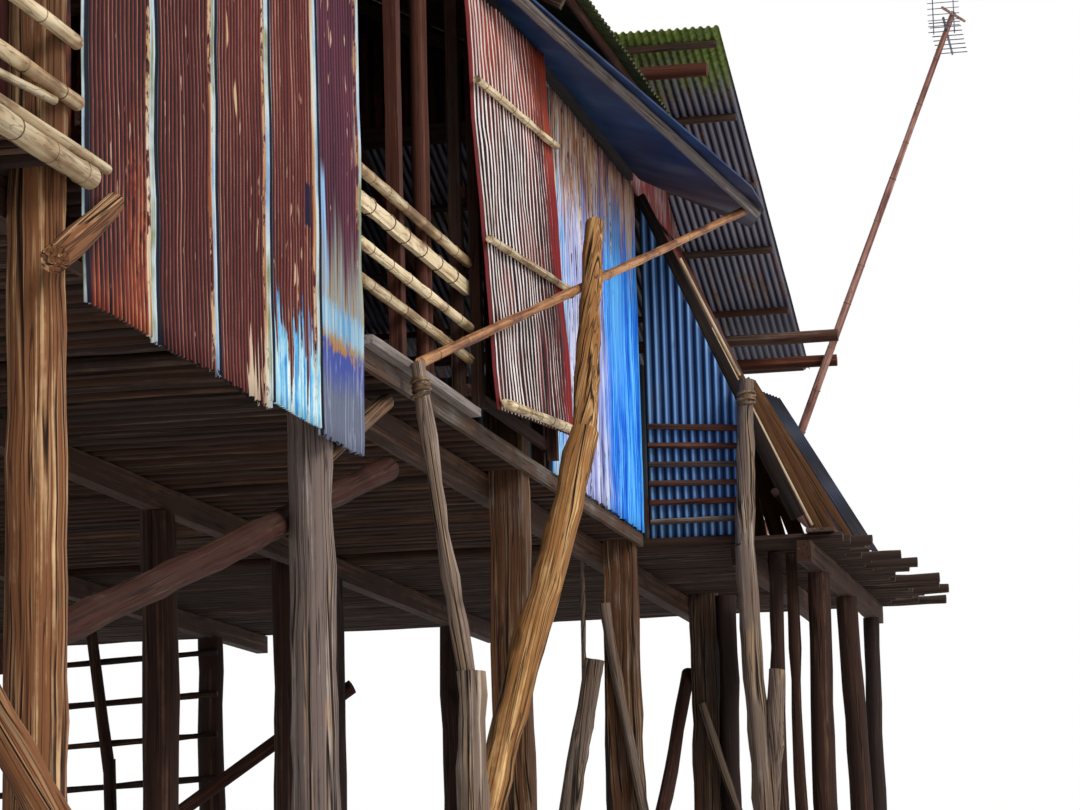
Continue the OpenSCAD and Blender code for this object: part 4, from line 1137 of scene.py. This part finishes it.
def around(spots, middle, along, places, place, reach):
    """The centre and the mean radius of a pole at one place along it, from its points within reach."""
    near = spots[np.abs(places - place) < reach]
    if not len(near):
        return middle, 0.0
    centre = near.mean(axis=0)
    off = near - centre
    out = off - np.outer(off @ along, along)
    radius = float(np.sqrt((out ** 2).sum(axis=1)).mean())
    return centre + along * (place - (centre - middle) @ along), radius


def ring(at, along, radius, thick):
    bpy.ops.object.select_all(action="DESELECT")
    bpy.ops.mesh.primitive_torus_add(major_segments=14, minor_segments=6,
                                     major_radius=radius, minor_radius=thick)
    made = bpy.context.object
    made.matrix_world = Matrix.Translation(at) @ Vector(along).to_track_quat("Z", "Y").to_matrix().to_4x4()
    bpy.ops.object.transform_apply(location=True, rotation=True, scale=True)
    return made


# %% [markdown]
# The spacing of joints is a little uneven, which chance() sets. A log or a crossing is too thick for a ring.
# Cord goes round the heads of the poles that end between the floor and the awning.

# %% Rings along bamboo, and turns of cord
RING_THICK, CORD_THICK = 0.0035, 0.011
THICK_POLE = 0.07
TIED_FROM, TIED_TO = 3.2, 4.6
TURNS, TURN_STEP, FIRST_TURN = 4, 0.024, 0.10


def joint_rings(o, spacing):
    made = []
    for k, group in enumerate(islands(o.data)):
        solid = long_way(o.data, group)
        along, places = solid[2:]
        place = places.min() + spacing * (0.3 + 0.6 * chance(k + 3))
        while place < places.max() - 0.05:
            centre, radius = around(*solid, place, 0.16)
            if 0 < radius < THICK_POLE:
                made.append(ring(centre, along, radius, RING_THICK))
            place += spacing * (0.85 + 0.3 * chance(k * 7 + len(made)))
    return made


def lashings(o):
    made = []
    for group in islands(o.data):
        solid = long_way(o.data, group)
        spots, _, along, places = solid
        if TIED_FROM < spots[:, 2].max() < TIED_TO:
            head, inward = (places.max(), -1) if along[2] > 0 else (places.min(), 1)
            for turn in range(TURNS):
                centre, radius = around(*solid, head + inward * (FIRST_TURN + turn * TURN_STEP), 0.09)
                lean = Vector(along) + Vector((0.12 * (-1) ** turn, 0.1, 0))
                if radius:
                    made.append(ring(centre, lean, radius + 0.006, CORD_THICK))
    return made


JOINTED = {"door_rails": 0.36, "sheet_battens": 0.34, "porch_rails": 0.34, "awning_prop": 0.42,
           "aerial_mast": 0.38}
rings = []
for source, spacing in JOINTED.items():
    rings += joint_rings(bpy.data.objects["worn_" + source], spacing)
rings += lashings(bpy.data.objects["worn_leaning_poles"])
rings = joined("joint_rings", rings)
mark_grain(rings, same_tones(0.5, 0.9))
smooth(rings, 80)
hang(rings, [], ring_cane)
print("joint rings:", len(rings.data.polygons), "faces")

# %% [markdown]
# A plain pale floor, a big soft sky and one soft lamp light the house. The sky is white where the camera or
# glass sees it, and a little weaker as a light, so that colours render about as they are written.

# %% Floor, sky and lamp
bpy.ops.object.select_all(action="DESELECT")
bpy.ops.mesh.primitive_circle_add(vertices=64, radius=70, fill_type="NGON", location=(6, 3, -0.004))
ground = bpy.context.object
ground.name = "ground"
floor_finish = Finish("pale_floor", roughness=0.9)
floor_finish.shader.inputs["Base Color"].default_value = (0.78, 0.78, 0.78, 1)
ground.data.materials.append(floor_finish.material)

world = bpy.data.worlds.new("sky")
bpy.context.scene.world = world
world.use_nodes = True
sky = world.node_tree
background = sky.nodes["Background"]
background.inputs["Color"].default_value = (0.93, 0.96, 1.0, 1)
background.inputs["Strength"].default_value = 0.75
seen = sky.nodes.new("ShaderNodeBackground")
seen.inputs["Color"].default_value = (1, 1, 1, 1)
seen.inputs["Strength"].default_value = 1.0
path = sky.nodes.new("ShaderNodeLightPath")
either = sky.nodes.new("ShaderNodeMath")
either.operation = "MAXIMUM"
sky.links.new(path.outputs["Is Camera Ray"], either.inputs[0])
sky.links.new(path.outputs["Is Transmission Ray"], either.inputs[1])
choose = sky.nodes.new("ShaderNodeMixShader")
sky.links.new(either.outputs[0], choose.inputs[0])
sky.links.new(background.outputs[0], choose.inputs[1])
sky.links.new(seen.outputs[0], choose.inputs[2])
sky.links.new(choose.outputs[0], sky.nodes["World Output"].inputs["Surface"])

lamp = bpy.data.lights.new("soft_sun", "SUN")
lamp.energy = 2.1
lamp.angle = math.radians(25)
lamp_holder = bpy.data.objects.new("soft_sun", lamp)
lamp_holder.rotation_euler = Vector((0.45, 0.78, -0.62)).to_track_quat("-Z", "Y").to_euler()
bpy.context.collection.objects.link(lamp_holder)
bpy.context.scene.view_settings.view_transform = "Standard"
print("lit by", lamp.name, lamp.energy)
